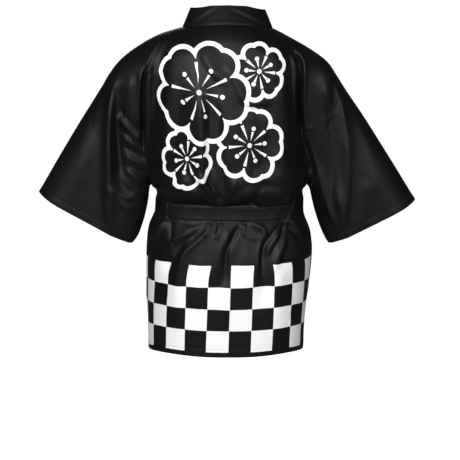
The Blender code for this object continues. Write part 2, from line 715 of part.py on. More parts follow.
def build_belt():
    """Belt round the waist, its knot in front and the two tails that hang from it."""
    rings = []
    for z in (BELT_TOP, BELT_MIDDLE, BELT_BOTTOM):
        total = section(z)[2][-1]
        rings.append(at_arc(z, total * np.arange(BELT_COLUMNS) / BELT_COLUMNS))
    ring = np.stack(rings, axis=1)
    along = np.roll(ring, -1, axis=0) - np.roll(ring, 1, axis=0)
    normal = np.stack((along[..., 1], -along[..., 0], np.zeros(along.shape[:2])), -1)
    normal /= np.linalg.norm(normal, axis=-1, keepdims=True)
    normal *= np.sign(np.sum(normal[0, 0] * (0.0, 1.0, 0.0)))
    in_front = (ring[..., 1] < 0.0) * (1.0 - smooth((np.abs(ring[..., 0]) - 75.0) / 65.0))
    band_face = LEFT_OVER + BAND - CLOTH
    clear = BELT_CLEAR + band_face * in_front
    inner = ring + clear[..., None] * normal
    outer = inner + BELT * normal
    wall("belt_band", outer, inner, cloth_material("belt_cloth", BLACK, 0.6), round_rows=True)

    face = SEAM_GAP - float(outer[:, 1, 1].min())
    wide, deep, tall = KNOT_SIZE
    around = np.linspace(0.0, 2.0 * math.pi, 21)[:-1]
    rise = np.linspace(-math.pi / 2.0, math.pi / 2.0, 11)[1:-1]
    lift, turn = np.meshgrid(rise, around, indexing="ij")

    def squared(value, power):
        return np.sign(value) * np.abs(value) ** power

    x = wide / 2.0 * squared(np.cos(lift), 0.6) * squared(np.cos(turn), 0.7)
    y = deep / 2.0 * squared(np.cos(lift), 0.6) * squared(np.sin(turn), 0.7)
    z = tall / 2.0 * squared(np.sin(lift), 0.8)
    points = np.stack((x, y - face - deep / 2.0, z + BELT_MIDDLE - 0.4), -1)
    poles = points[[0, -1]].mean(axis=1)
    index = np.arange(points.shape[0] * len(around)).reshape(points.shape[0], -1)
    nxt = np.roll(index, -1, axis=1)
    low, high = index.size, index.size + 1
    quads = np.stack((index[:-1], nxt[:-1], nxt[1:], index[1:]), -1).reshape(-1, 4)
    caps = [(low, b, a) for a, b in zip(index[0], nxt[0])]
    caps += [(high, a, b) for a, b in zip(index[-1], nxt[-1])]
    mesh = bpy.data.meshes.new("belt_knot")
    mesh.from_pydata((np.concatenate((points.reshape(-1, 3), poles)) / 1000.0).tolist(), [],
                     quads.tolist() + [tuple(int(i) for i in cap) for cap in caps])
    mesh.shade_smooth()
    mesh.materials.append(cloth_material("belt_knot_cloth", BLACK, 0.6))
    bpy.context.scene.collection.objects.link(bpy.data.objects.new("belt_knot", mesh))

    # Columns: name, x at the knot, x at its end, height of its end, how far out the cloth behind it lies
    tails = (("belt_tail_left", 19.0, 34.0, -590.0, LEFT_OVER),
             ("belt_tail_right", -19.0, -30.0, -572.0, band_face))
    for name, start, end, bottom, behind in tails:
        t = np.linspace(0.0, 1.0, 15)[:, None]
        across = np.array((-0.5, 0.0, 0.5))[None] * TAIL_WIDTH
        x = start + (end - start) * smooth(t) + across
        z = TAIL_TOP + (bottom - TAIL_TOP) * t + 0.0 * across
        slack = 0.9 * (1.0 - smooth((TAIL_TOP - z) / 40.0))
        inner = front_surface(x, z, behind + LAYER_GAP + slack)
        outer = inner - np.array((0.0, BELT, 0.0))
        wall(name, outer, inner, cloth_material(name + "_cloth", BLACK, 0.6))


def build():
    for item in list(bpy.data.objects):
        bpy.data.objects.remove(item)
    build_coat()
    build_belt()


build()
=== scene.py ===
"""Happi coat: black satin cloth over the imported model, its white print, sewing and studio.

The coat hangs as it does when worn. Its front is -Y, its left is +X and up is +Z. The origin is the middle
of the neck. Shapes are worked out in millimetres and become metres in a mesh.
"""

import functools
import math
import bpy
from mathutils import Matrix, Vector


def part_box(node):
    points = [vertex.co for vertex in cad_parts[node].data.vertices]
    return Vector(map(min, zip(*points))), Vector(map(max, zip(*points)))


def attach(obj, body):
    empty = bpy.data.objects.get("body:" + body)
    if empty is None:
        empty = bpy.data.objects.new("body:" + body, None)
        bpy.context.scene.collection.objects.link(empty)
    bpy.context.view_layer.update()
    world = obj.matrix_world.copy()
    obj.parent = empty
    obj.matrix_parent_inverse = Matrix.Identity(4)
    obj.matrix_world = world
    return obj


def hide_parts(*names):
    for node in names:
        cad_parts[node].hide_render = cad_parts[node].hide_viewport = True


bl_info = {
    "name": "Happi coat",
    "version": (1, 0, 0),
    "blender": (4, 5, 0),
    "location": "3D View > Sidebar > Happi coat",
    "description": "Builds a worn happi coat with its collar band, belt, print and sewing",
    "category": "Object",
}

import bpy
import numpy as np
from bpy.props import FloatProperty, FloatVectorProperty, PointerProperty
from mathutils import Vector

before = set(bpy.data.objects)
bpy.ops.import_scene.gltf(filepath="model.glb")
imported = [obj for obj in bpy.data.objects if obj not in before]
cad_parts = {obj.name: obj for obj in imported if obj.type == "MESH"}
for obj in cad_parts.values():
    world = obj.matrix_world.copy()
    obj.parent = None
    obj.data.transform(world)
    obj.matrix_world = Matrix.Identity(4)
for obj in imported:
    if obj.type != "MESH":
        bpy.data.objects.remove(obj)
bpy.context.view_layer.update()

MM = 0.001

# Cut and form, in millimetres
BAND = 2.5                   # collar band, cloth folded round a stiffener
CLOTH = 1.5                  # wall of the solids
BELT = 2.0                   # belt, cloth folded double
SHOULDER_END_LEFT = 264.0
SHOULDER_END_RIGHT = 250.0
UNDERARM_X = 177.0
UNDERARM_Z = -344.0
CUFF_TOP_LEFT = 437.0
CUFF_TOP_RIGHT = 429.0
CUFF_UNDER_Z = -481.0
NECK_LEFT = 101.0
NECK_RIGHT = 95.0
NECK_BACK = 75.0
NAPE_SOFT = 16.0             # reach over which the peak of the shoulder line is rounded off
NAPE_SLOPE = 0.2             # slope of the shoulder line there
SHOULDER_LIFT = 3.2          # of the shoulders over the solids' line
HEM_Z = -711.0
HEM_DROP = 24.0
SIDE_SEAM_TURN = 34.0
BAND_WIDTH = 48.0
BELT_TOP = -375.0
BELT_MIDDLE = -390.0
BELT_BOTTOM = -405.0
BELT_CLEAR = 0.6
COVER = 3.6                  # how far the cloth at the sides comes out over the belt
COVER_START = 131.0          # x from which it does, at the belt's middle
BELT_SINK = 2.6              # how far the belt sinks there
COLLAR_CURL_LEFT = 0.08      # how much lower the collar stands at the sides of the neck, as a share
COLLAR_CURL_RIGHT = 0.14
TAIL_WIDTH = 30.0
SECTION_POWER = 2.6
SHOULDER_ROUND = 65.0
ARCH_RADIUS = 10.0
CREASE_SOFT = 15.0
SLEEVE_ROUND = 78.0
SLEEVE_DEPTH = 54.0
CUFF_DEPTH = 45.0
FOLD_FADE = 26.0
FLAT_FRONT = 58.0
LEFT_OVER = 3.0
CHECK_SLANT = 7.0            # how far the check shifts sideways over 200 of height
SLACK_COUNT = 150            # small uneven creases
SLACK_SEED = 11

# Grids
NECK_COLUMNS = 26
SHOULDER_COLUMNS = 60
UPPER_COUNT = 132            # rows above the underarm
LOWER_COUNT = 126            # rows below it
SLEEVE_COLUMNS = 100
SLEEVE_ROWS = 92             # from the outer fold to the lower one, on one face
FINE = 6                     # fine steps to a column, to spread the columns evenly
OUTWARD = 0.45               # how far the columns of the upper rows crowd towards the armhole
BELT_COLUMNS = 420
BELT_STITCH_ROWS = (4, 12)   # rows of the belt's section that carry stitches

# Sewing
SEAM_DIP = 0.25              # how far the cloth sinks at a seam
SEAM_REACH = 4.0
PUCKER = 0.15                # small waves beside a seam
PUCKER_LENGTH = 11.0
HEM_FOLD = 18.0              # width of the turned hem
CUFF_FOLD = 16.0
STITCH_PITCH = 3.2
STITCH_LENGTH = 2.3
STITCH_RADIUS = 0.28


def table(columns, *rows):
    """Rows of numbers as arrays, each under its column's name."""
    return dict(zip(columns.split(), np.array(rows, float).T))


RIDGE = table(
    "left_x left_z right_x right_z",
    (0, 38, 0, 38),
    (50, 28, 50, 27),
    (101, 5, 95, 3),
    (152, -11, 123, -12),
    (204, -39, 179, -43),
    (242, -68, 219, -72),
    (264, -94, 240, -101),
    (285, -127, 260, -131),
    (337, -205, 300, -187),
    (390, -288, 363, -281),
    (437, -364, 429, -382),
)
HALF_WIDTH = table(
    "z left right",
    (40, 95, 92),
    (5, 112, 108),
    (-15, 126, 122),
    (-38, 144, 138),
    (-71, 165, 151),
    (-90, 177, 153),
    (-150, 182, 156),
    (-183, 184, 160),
    (-240, 186, 168),
    (-273, 186, 174),
    (-310, 183, 178),
    (-344, UNDERARM_X, UNDERARM_X),
    (-348, 171, 172),
    (-356, 166.5, 169),
    (-365, 164.5, 168),
    (BELT_TOP, 165.5, 168),
    (BELT_MIDDLE, 166.5, 168),
    (BELT_BOTTOM, 168, 168.5),
    (-413, 173, 171.5),
    (-431, 181, 178),
    (-449, 184, 184),
    (-496, 188, 190),
    (-566, 190, 186),
    (-601, 191.5, 183),
    (-676, 193, 179),
    (-740, 193, 177),
)
FULL_DEPTH = table(
    "z back front",
    (40, 90, 80),
    (0, 98, 90),
    (-50, 112, 101),
    (-100, 122, 109),
    (-150, 128, 114),
    (-200, 130, 116),
    (-250, 130, 115),
    (-300, 129, 113),
    (-344, 126, 110),
    (-348, 125.5, 109.5),
    (-356, 123.5, 107.5),
    (-365, 118.5, 104),
    (BELT_TOP, 113, 101),
    (BELT_MIDDLE, 111.5, 100),
    (BELT_BOTTOM, 112.5, 101),
    (-413, 117, 104.5),
    (-431, 125, 110),
    (-460, 131, 114),
    (-500, 137, 118),
    (-560, 141, 121),
    (-640, 143, 124),
    (-740, 145, 126),
)
SLEEVE_UNDER = table(
    "z left right",
    (UNDERARM_Z, UNDERARM_X, UNDERARM_X),
    (-348, 181.5, 182),
    (-358, 183.5, 186),
    (-375, 185.5, 190),
    (-405, 191.5, 198),
    (-440, 202, 210),
    (-465, 212, 221),
    (CUFF_UNDER_Z, 224, 231),
)
FRONT_EDGE = table(
    "z x",
    (UNDERARM_Z, 7),
    (-368, 0.8),
    (BELT_MIDDLE, -3),
    (-420, -4.6),
    (-460, -5),
    (-740, -5),
)

# Broad folds, as the solids have them: each runs from (x0, z0) to (x1, z1), bowed sideways by bow in the
# middle, with the given half width, and stands out by rise, or in where rise is less than none.
FOLD_COLUMNS = "x0 z0 x1 z1 bow width rise"
BACK_FOLDS = table(
    FOLD_COLUMNS,
    (140, -25, 187, -250, 9, 15, -7),
    (-136, -30, -172, -275, -7, 17, -6),
    (72, -60, 58, -330, 4, 26, 5),
    (100, -130, 118, -335, -6, 14, -4),
    (26, -150, 14, -352, 3, 12, -5),
    (-10, -170, 2, -345, 0, 13, 3),
    (46, -36, 16, -96, 0, 13, 4),
    (0, -66, -84, -148, 8, 14, 4),
    (-62, -150, -78, -300, 5, 18, -4),
    (-108, -120, -118, -330, 4, 18, 4),
    (120, -352, 16, -349, 12, 14, 6),
    (-2, -349, -150, -356, 12, 14, 6),
    (92, -300, 20, -360, -5, 12, -5),
    (-52, -300, 2, -358, 4, 12, -5),
    (-72, -331, -47, -368, 0, 8, -4),
    (-90, -250, -152, -345, 8, 13, 4),
    (252, -118, 271, -452, -6, 13, 9),
    (292, -160, 322, -380, 4, 20, -5),
    (240, -130, 236, -345, -6, 12, -7),
    (244, -186, 200, -248, 4, 9, 5),
    (236, -214, 190, -264, 3, 8, -5),
    (226, -300, 196, -340, 0, 9, 5),
    (268, -344, 216, -402, -5, 9, 5),
    (-208, -80, -268, -455, -12, 13, 9),
    (-262, -135, -330, -330, -5, 22, -5),
    (-216, -150, -240, -360, -4, 12, -7),
    (-181, -262, -245, -450, -3, 11, 5),
    (-306, -330, -296, -440, 0, 16, 4),
)
FRONT_FOLDS = table(
    FOLD_COLUMNS,
    (146, -30, 187, -255, 9, 15, -8),
    (-138, -30, -172, -275, -7, 17, -7),
    (120, -60, 92, -250, 6, 22, 4),
    (-118, -60, -92, -250, -6, 22, 4),
    (150, -250, 60, -362, 6, 14, 5),
    (-150, -255, -60, -364, -6, 14, 5),
    (110, -230, 88, -366, 0, 12, -4),
    (-110, -240, -92, -366, 0, 12, -4),
    (256, -120, 276, -450, -6, 14, 8),
    (238, -140, 232, -350, -6, 12, -7),
    (320, -230, 350, -400, 5, 20, -5),
    (-222, -100, -272, -452, -10, 14, 8),
    (-214, -160, -236, -360, -4, 12, -7),
    (-312, -240, -342, -410, -5, 20, -5),
)
SKIRT_FOLDS = table(
    "x0 z0 x1 z1 bow width rise",
    (52, -404, 68, -470, 0, 6.5, 5),
    (17, -404, 45, -520, -3, 6, -7),
    (27, -408, 38, -600, 0, 5, 5),
    (-8, -404, 8, -560, 4, 6.5, -7),
    (-2, -420, 1, -640, 0, 6, 4),
    (-16, -404, -23, -600, 4, 6.5, -6),
    (-36, -406, -34, -560, 0, 6, 5),
    (-46, -404, -36, -520, -3, 6, -6),
    (-62, -404, -76, -470, 0, 7, 5),
    (84, -408, 94, -640, 2, 8, 5),
    (100, -406, 108, -540, 0, 6, -5),
    (122, -408, 118, -640, 2, 8, 5),
    (138, -406, 140, -560, 0, 6, -4),
    (-88, -408, -96, -620, 2, 8, 5),
    (-104, -406, -108, -540, 0, 6, -5),
    (-122, -408, -120, -640, 2, 8, 5),
    (-138, -406, -142, -560, 0, 6, -4),
)

# Creases, finer than the folds: a smooth line through four points, with the half width on its two sides
# shared out by lean, from -1 to 1. A positive lean makes the side towards the coat's left the wider one on
# a crease that runs down.
CREASE_COLUMNS = "x0 z0 x1 z1 x2 z2 x3 z3 width lean rise"
BACK_CREASES = table(
    CREASE_COLUMNS,
    # Left armhole
    (142, -14, 155, -44, 171, -85, 173, -180, 4.5, 0, -4),
    (147, -12, 160, -40, 172, -62, 180, -84, 5, 0, 3),
    (151, -58, 161, -92, 167, -140, 170, -210, 4.5, 0, 3),
    (176, -72, 184, -110, 188, -165, 191, -290, 3.4, 0, -16),
    (168, -80, 175, -112, 179, -165, 182, -265, 4.2, 0, 6),
    (186, -82, 193, -112, 197, -165, 200, -250, 4.5, 0, 4.5),
    (214, -90, 213, -130, 211, -170, 208, -215, 14, 0, 6),
    # Right armhole
    (-136, -38, -153, -80, -153, -150, -165, -250, 3.6, 0, -17),
    (-161, -226, -174, -262, -183, -288, -190, -326, 5.5, 0, -13),
    (-128, -44, -143, -82, -144, -150, -153, -236, 4.5, 0, 5.5),
    (-144, -30, -163, -78, -163, -150, -173, -242, 4.5, 0, 5.5),
    (-128, -30, -138, -64, -140, -120, -144, -190, 6, 0, 2.5),
    # Down the middle of the back
    (58, -110, 56, -180, 55, -250, 55, -330, 13, 0.7, 10),
    (37, -116, 39, -200, 37, -260, 33, -336, 8, 0, -10.5),
    (15, -120, 11, -190, 7, -250, 4, -320, 6, 0, 6),
    (59, -36, 46, -66, 26, -92, 2, -116, 8, 0, 6),
    (12, -62, -14, -106, -42, -152, -86, -152, 7, 0, 6.5),
    (-20, -140, -44, -163, -66, -166, -88, -160, 8, 0, -5.5),
    (-76, -150, -77, -180, -77, -205, -76, -236, 4, 0.4, 3),
    (-104, -226, -118, -262, -132, -292, -146, -326, 7, 0, 3),
    (-112, -110, -124, -150, -128, -200, -120, -250, 14, 0, 5),
    (-34, -190, -40, -240, -42, -280, -40, -322, 11, 0, 5),
    # Cloth pushed up over the belt
    (154, -336, 104, -318, 62, -312, 34, -336, 15, 0, 9),
    (152, -386, 100, -378, 58, -376, 24, -384, 18, 0, -11),
    (4, -342, -30, -322, -80, -310, -154, -338, 15, 0, 9),
    (14, -384, -14, -376, -42, -370, -68, -370, 17, 0, -10),
    (-80, -358, -104, -352, -124, -354, -144, -360, 9, 0, 4),
    (66, -296, 52, -322, 36, -344, 20, -366, 6, 0, 7),
    (50, -296, 40, -322, 28, -344, 14, -366, 6, 0, -9),
    (-20, -300, -10, -324, -2, -346, 6, -366, 6, 0, 6),
    (-72, -328, -72, -344, -67, -356, -58, -366, 6, 0, 5),
    (-60, -342, -58, -352, -53, -362, -46, -370, 6, 0, -3.5),
    (-134, -350, -134, -358, -134, -366, -133, -374, 4, 0, 3),
    # Left sleeve
    (243, -84, 254, -136, 261, -215, 267, -452, 12, 0, 6),
    (238, -108, 246, -150, 249, -210, 251, -340, 9, 0, -5.5),
    (252, -190, 248, -230, 246, -280, 244, -332, 9, 0, -5),
    (290, -130, 300, -210, 312, -300, 324, -400, 26, 0, 5),
    (242, -180, 230, -202, 214, -224, 192, -250, 10, 0, 2.2),
    (242, -162, 231, -182, 214, -204, 194, -230, 6.5, 0, -2.8),
    (236, -226, 222, -238, 204, -252, 182, -268, 8, 0, 5.5),
    (236, -248, 222, -258, 204, -269, 182, -284, 5.5, 0, -4.5),
    (232, -272, 220, -280, 204, -290, 184, -302, 9, 0, 3.5),
    (230, -296, 218, -302, 204, -308, 184, -320, 7, 0, -3),
    (262, -336, 250, -352, 234, -366, 216, -376, 7, 0, 4.5),
    (250, -322, 240, -340, 226, -352, 214, -360, 8, 0, -3.5),
    # Right sleeve
    (-206, -54, -230, -112, -250, -160, -260, -250, 10, 0, 7),
    (-258, -200, -263, -280, -264, -350, -262, -440, 12, 0, 9),
    (-204, -130, -222, -196, -232, -270, -236, -400, 15, 0, -8),
    (-276, -150, -298, -220, -318, -290, -334, -370, 22, 0, 4.5),
    (-183, -250, -203, -318, -223, -387, -246, -452, 6, 0, 4),
    (-170, -218, -176, -213, -182, -209, -189, -206, 4.5, 0, 1.8),
    (-204, -202, -217, -192, -230, -181, -243, -171, 6, 0, 1.2),
    (-216, -400, -226, -420, -236, -440, -250, -456, 7, 0, -3),
)
FRONT_CREASES = table(
    CREASE_COLUMNS,
    (130, -12, 166, -68, 184, -150, 187, -255, 5, 0, -5),
    (118, -12, 152, -66, 170, -145, 176, -240, 6, 0, 3),
    (-128, -16, -150, -66, -158, -150, -176, -280, 5, 0, -5),
    (-116, -16, -138, -62, -144, -140, -160, -250, 6, 0, 3),
    (134, -80, 126, -140, 112, -200, 96, -268, 8, 0, 2.5),
    (-130, -84, -122, -150, -110, -210, -96, -270, 8, 0, 2.5),
    (160, -262, 140, -300, 116, -332, 84, -352, 7, 0, 3.5),
    (-158, -270, -138, -304, -114, -334, -86, -352, 7, 0, 3.5),
    (140, -350, 120, -338, 96, -338, 78, -356, 7, 0, 3),
    (-138, -352, -118, -338, -98, -338, -78, -354, 7, 0, 3),
    (252, -100, 262, -160, 272, -260, 276, -450, 6, 0, 4),
    (244, -140, 240, -200, 236, -280, 232, -350, 7, 0, -3),
    (240, -196, 226, -214, 208, -236, 190, -262, 5, 0, 3),
    (232, -240, 218, -250, 202, -264, 188, -286, 5, 0, 3),
    (-210, -84, -240, -150, -262, -220, -272, -440, 6, 0, 4),
    (-220, -170, -230, -240, -238, -300, -242, -360, 8, 0, -3),
    (-186, -256, -204, -316, -222, -384, -240, -446, 6, 0, 3),
    (-190, -216, -204, -222, -216, -232, -228, -246, 5, 0, 2.5),
)
SKIRT_BACK_CREASES = table(
    CREASE_COLUMNS,
    (44, -406, 90, -433, 127, -462, 128, -525, 7.5, 0, 6),
    (40, -420, 76, -456, 98, -476, 114, -512, 5, 0, 4),
    (62, -428, 82, -442, 100, -456, 112, -480, 6, 0, -3),
    (112, -409, 92, -414, 72, -413, 54, -409, 5, 0, -4),
    (43, -402, 44, -414, 48, -426, 56, -442, 5.5, 0, 4),
    (18, -402, 19, -414, 23, -428, 28, -446, 5.5, 0, 4),
    (31, -402, 31, -412, 32, -422, 35, -436, 6, 0, -4.5),
    (-25, -408, -8, -446, 5, -474, 9, -545, 6, 0.2, -10),
    (-8, -416, 10, -450, 21, -478, 24, -550, 7, 0, 4),
    (-23, -408, -31, -411, -38, -411, -46, -408, 5, 0, -5.5),
    (-33, -409, -33, -418, -33, -428, -34, -442, 4, 0, 4.5),
    (-44, -404, -77, -430, -66, -476, -61, -550, 6, 0, 6.5),
    (-34, -430, -46, -440, -58, -443, -70, -440, 6, 0, 2.2),
    (-121, -406, -94, -441, -78, -466, -73, -530, 7, 0, -10),
    (-126, -408, -117, -442, -102, -464, -92, -494, 5, 0, -8),
    (-108, -424, -100, -444, -90, -462, -84, -486, 5, 0, 3.5),
    (-129, -424, -119, -462, -107, -488, -99, -530, 6, 0, 6),
    (-132, -404, -143, -418, -153, -432, -163, -448, 5, 0, 6),
    (-128, -418, -142, -433, -153, -446, -161, -460, 5.5, 0, -5),
    (133, -404, 147, -421, 158, -438, 167, -456, 6, 0, 6),
    (129, -408, 128, -424, 128, -440, 131, -464, 5, 0, -4),
    (60, -480, 62, -510, 66, -550, 70, -610, 13, 0, 2.5),
    (-30, -500, -28, -540, -30, -580, -34, -640, 13, 0, 2.5),
    (108, -520, 112, -570, 116, -620, 118, -680, 13, 0, 2),
    (-104, -530, -108, -580, -112, -630, -116, -690, 13, 0, 2),
)
SKIRT_FRONT_CREASES = table(
    CREASE_COLUMNS,
    (70, -412, 84, -440, 98, -480, 104, -540, 5, 0, 4),
    (96, -412, 104, -440, 118, -470, 136, -510, 5, 0, 3.5),
    (86, -410, 94, -440, 106, -470, 116, -520, 5, 0, -3.5),
    (126, -412, 140, -432, 152, -460, 158, -500, 5, 0, 3),
    (-66, -412, -78, -444, -92, -480, -100, -540, 5, 0, 4),
    (-92, -412, -106, -440, -118, -474, -134, -520, 5, 0, 3.5),
    (-80, -410, -90, -440, -104, -480, -112, -520, 5, 0, -3.5),
    (-124, -412, -138, -430, -150, -460, -156, -500, 5, 0, 3),
    (112, -520, 116, -570, 118, -620, 120, -680, 12, 0, 2),
    (-108, -520, -112, -570, -116, -620, -118, -680, 12, 0, 2),
)
# Creases of the standing collar: along from the centre back to the left, and up from its seam
COLLAR_CREASES = table(
    CREASE_COLUMNS,
    (6, 47, -30, 34, -62, 20, -104, 2, 3.2, 0, 1.5),
    (0, 40, -36, 24, -70, 10, -100, 0, 5, 0, -1.2),
    (36, 47, 56, 36, 78, 24, 100, 12, 3.5, 0, 1.3),
    (20, 44, 46, 30, 70, 14, 96, 4, 6, 0, -1),
    (-60, 5, -20, 6, 20, 6, 60, 5, 3, 0, 0.9),
    (-92, 44, -100, 32, -108, 20, -116, 8, 4, 0, 1),
)


def smooth(t):
    """Eases from 0 to 1 as t goes from 0 to 1."""
    t = np.clip(t, 0.0, 1.0)
    return t * t * (3.0 - 2.0 * t)


def spline(xs, ys, x):
    """Smooth curve through points that never overshoots them: on each span a cubic, whose slope at a point
    is the harmonic mean of the slopes on its two sides, and level where they turn. Straight beyond."""
    order = np.argsort(xs)
    xs, ys = np.asarray(xs)[order], np.asarray(ys)[order]
    step = np.diff(xs)
    rise = np.diff(ys) / step
    before, after = rise[:-1], rise[1:]
    turning = before * after <= 0.0
    weight_before, weight_after = 2.0 * step[1:] + step[:-1], step[1:] + 2.0 * step[:-1]
    mean = (weight_before + weight_after) / (
        weight_before / np.where(turning, 1.0, before) + weight_after / np.where(turning, 1.0, after))
    slope = np.concatenate((rise[:1], np.where(turning, 0.0, mean), rise[-1:]))
    span = np.clip(np.searchsorted(xs, x, side="right") - 1, 0, len(xs) - 2)
    t = np.clip((x - xs[span]) / step[span], 0.0, 1.0)
    value = ((1 + 2 * t) * (1 - t) ** 2 * ys[span] + t * (1 - t) ** 2 * step[span] * slope[span]
             + t * t * (3 - 2 * t) * ys[span + 1] - t * t * (1 - t) * step[span] * slope[span + 1])
    beyond = x - np.clip(x, xs[0], xs[-1])
    return value + beyond * np.where(x < xs[0], slope[0], slope[-1])


def ridge(x):
    """Height of the shoulder line, or of the sleeve's outer fold, at x. At the nape its peak is rounded
    off."""
    across = np.abs(x)
    height = np.where(np.asarray(x) >= 0.0, spline(RIDGE["left_x"], RIDGE["left_z"], across),
                      spline(RIDGE["right_x"], RIDGE["right_z"], across))
    peak = NAPE_SLOPE * (np.sqrt(across ** 2 + NAPE_SOFT ** 2) - across) * (1.0 - smooth(across / 90.0))
    return height + SHOULDER_LIFT * smooth((across - 60.0) / 60.0) - peak


def below_ridge(x, z):
    """Distance from the shoulder line, measured square to it."""
    reach = 2.0
    slope = (ridge(x + reach) - ridge(x - reach)) / (2.0 * reach)
    return np.maximum(ridge(x) - z, 0.0) / np.sqrt(1.0 + slope ** 2)


def full_depth(behind, z):
    """Full depth of the body at height z, behind the plane y = 0 or in front of it."""
    return np.where(behind, spline(FULL_DEPTH["z"], FULL_DEPTH["back"], z),
                    spline(FULL_DEPTH["z"], FULL_DEPTH["front"], z))


def powered(values, power):
    """The values raised to a power, each with its own sign: makes an oval out of a circle's sine."""
    return np.sign(values) * np.abs(values) ** power


def of_side(rows, x, z):
    """Value at height z in the column of the side that x lies on."""
    return np.where(np.asarray(x) >= 0.0, spline(rows["z"], rows["left"], z),
                    spline(rows["z"], rows["right"], z))


def along_sleeve(x, z):
    """How far a point lies from armhole to cuff, from 0 to 1."""
    left = np.asarray(x) >= 0.0
    start_x = np.where(left, SHOULDER_END_LEFT, SHOULDER_END_RIGHT)
    end_x = np.where(left, CUFF_TOP_LEFT, CUFF_TOP_RIGHT)
    start_z, end_z = ridge(np.where(left, start_x, -start_x)), ridge(np.where(left, end_x, -end_x))
    run_x, run_z = end_x - start_x, end_z - start_z
    along = (np.abs(x) - start_x) * run_x + (z - start_z) * run_z
    return np.clip(along / (run_x ** 2 + run_z ** 2), 0.0, 1.0)


def depth(x, z, face, sleeve=False):
    """How far the smooth form stands from the plane y = 0, behind it or in front.

    The square of the depth grows from the armhole crease, or the side, towards the middle of the body and
    of the sleeve as it does on an ellipse. The whole is rounded down to nothing at the shoulder line.
    """
    arch = np.maximum(z - UNDERARM_Z, 0.0)
    crease = 2.0 * ARCH_RADIUS * arch
    half = of_side(HALF_WIDTH, x, z)
    if sleeve:
        half = np.where(z < UNDERARM_Z, of_side(SLEEVE_UNDER, x, z), half)
    inside = half - np.abs(x)
    soft = CREASE_SOFT * smooth(arch / 60.0) + 1e-6
    off = np.sqrt(inside ** 2 + soft ** 2) - soft
    full = spline(FULL_DEPTH["z"], FULL_DEPTH[face], z)
    body = crease + (full ** 2 - crease) * (1.0 - (1.0 - np.clip(off / half, 0.0, 1.0)) ** SECTION_POWER)
    arm_full = SLEEVE_DEPTH + (CUFF_DEPTH - SLEEVE_DEPTH) * along_sleeve(x, z)
    arm = crease + (arm_full ** 2 - crease) * (1.0 - (1.0 - np.clip(off / SLEEVE_ROUND, 0.0, 1.0)) ** 2)
    on_arm = inside < (1e-3 if sleeve else 0.0)
    square = np.maximum(np.where(on_arm, arm, body), 0.0)
    rounding = 1.0 - (1.0 - np.clip(below_ridge(x, z) / SHOULDER_ROUND, 0.0, 1.0)) ** 2
    sharpness = 0.5 + 0.2 * smooth((np.abs(x) - 230.0) / 80.0)
    return np.sqrt(square) * rounding ** sharpness


def folds(rows, u, v):
    """Height of all the folds in a table at (u, v). Each is a bell across its bowed line, and fades in and
    out along it."""
    total = np.zeros(np.broadcast(u, v).shape)
    for u0, v0, u1, v1, bow, width, rise in zip(*rows.values()):
        run_u, run_v = u1 - u0, v1 - v0
        length = math.hypot(run_u, run_v)
        t = ((u - u0) * run_u + (v - v0) * run_v) / length ** 2
        off = ((u - u0) * run_v - (v - v0) * run_u) / length - 4.0 * bow * t * (1.0 - t)
        ends = smooth(t / 0.35 + 0.35) * smooth((1.0 - t) / 0.35 + 0.35)
        total = total + rise * np.exp(-(off / width) ** 2) * ends
    return total


def creases(rows, u, v, steps=14):
    """Height of all the creases in a table at (u, v).

    The height falls from a crease's line with the power 1.5 of the distance, which leaves a soft but
    clear edge, and tapers towards the line's two ends.
    """
    total = np.zeros(np.broadcast(u, v).shape)
    for row in zip(*rows.values()):
        (width, lean, rise), ends = row[8:], np.array(row[:8]).reshape(4, 2)
        reach = 3.2 * width * (1.0 + abs(lean))
        low, high = ends.min(axis=0) - reach, ends.max(axis=0) + reach
        near = (u > low[0]) & (u < high[0]) & (v > low[1]) & (v < high[1])
        if not near.any():
            continue
        pu, pv = u[near], v[near]
        share = np.linspace(0.0, 1.0, steps + 1)
        knots = np.arange(4) / 3.0
        line_u, line_v = spline(knots, ends[:, 0], share), spline(knots, ends[:, 1], share)
        best = np.full(pu.shape, 1e9)
        side, place = np.zeros(pu.shape), np.zeros(pu.shape)
        for k in range(steps):
            run_u, run_v = line_u[k + 1] - line_u[k], line_v[k + 1] - line_v[k]
            along = (pu - line_u[k]) * run_u + (pv - line_v[k]) * run_v
            t = np.clip(along / (run_u ** 2 + run_v ** 2), 0, 1)
            off_u, off_v = pu - line_u[k] - t * run_u, pv - line_v[k] - t * run_v
            distance = np.hypot(off_u, off_v)
            closer = distance < best
            best = np.where(closer, distance, best)
            side = np.where(closer, np.sign(off_v * run_u - off_u * run_v), side)
            place = np.where(closer, (k + t) / steps, place)
        across = best / (width * (1.0 + lean * side))
        taper = smooth(place / 0.3 + 0.12) * smooth((1.0 - place) / 0.3 + 0.12)
        total[near] += rise * np.exp(-(across ** 2 + 0.05) ** 0.75) * taper
    return total


@functools.cache
def slack_creases():
    """Small uneven creases all over, from a seeded draw: a table like the ones above, back and front."""
    draw = np.random.default_rng(SLACK_SEED)
    rows = []
    for _ in range(SLACK_COUNT):
        x, z = draw.uniform(-330, 330), draw.uniform(-640, -40)
        turn = draw.normal(0.0, 0.35) + 0.35 * np.sign(x) * (abs(x) > 190)
        length = draw.uniform(30, 90)
        step = np.array((math.sin(turn), -math.cos(turn))) * length / 3.0
        bend = draw.uniform(-3.0, 3.0, 2)
        points = np.array((x, z)) + step * np.arange(4)[:, None]
        points[1:3, 0] += bend
        rows.append((*points.reshape(-1), draw.uniform(5, 11), 0.0, draw.uniform(-1.0, 1.0)))
    return table(CREASE_COLUMNS, *rows)


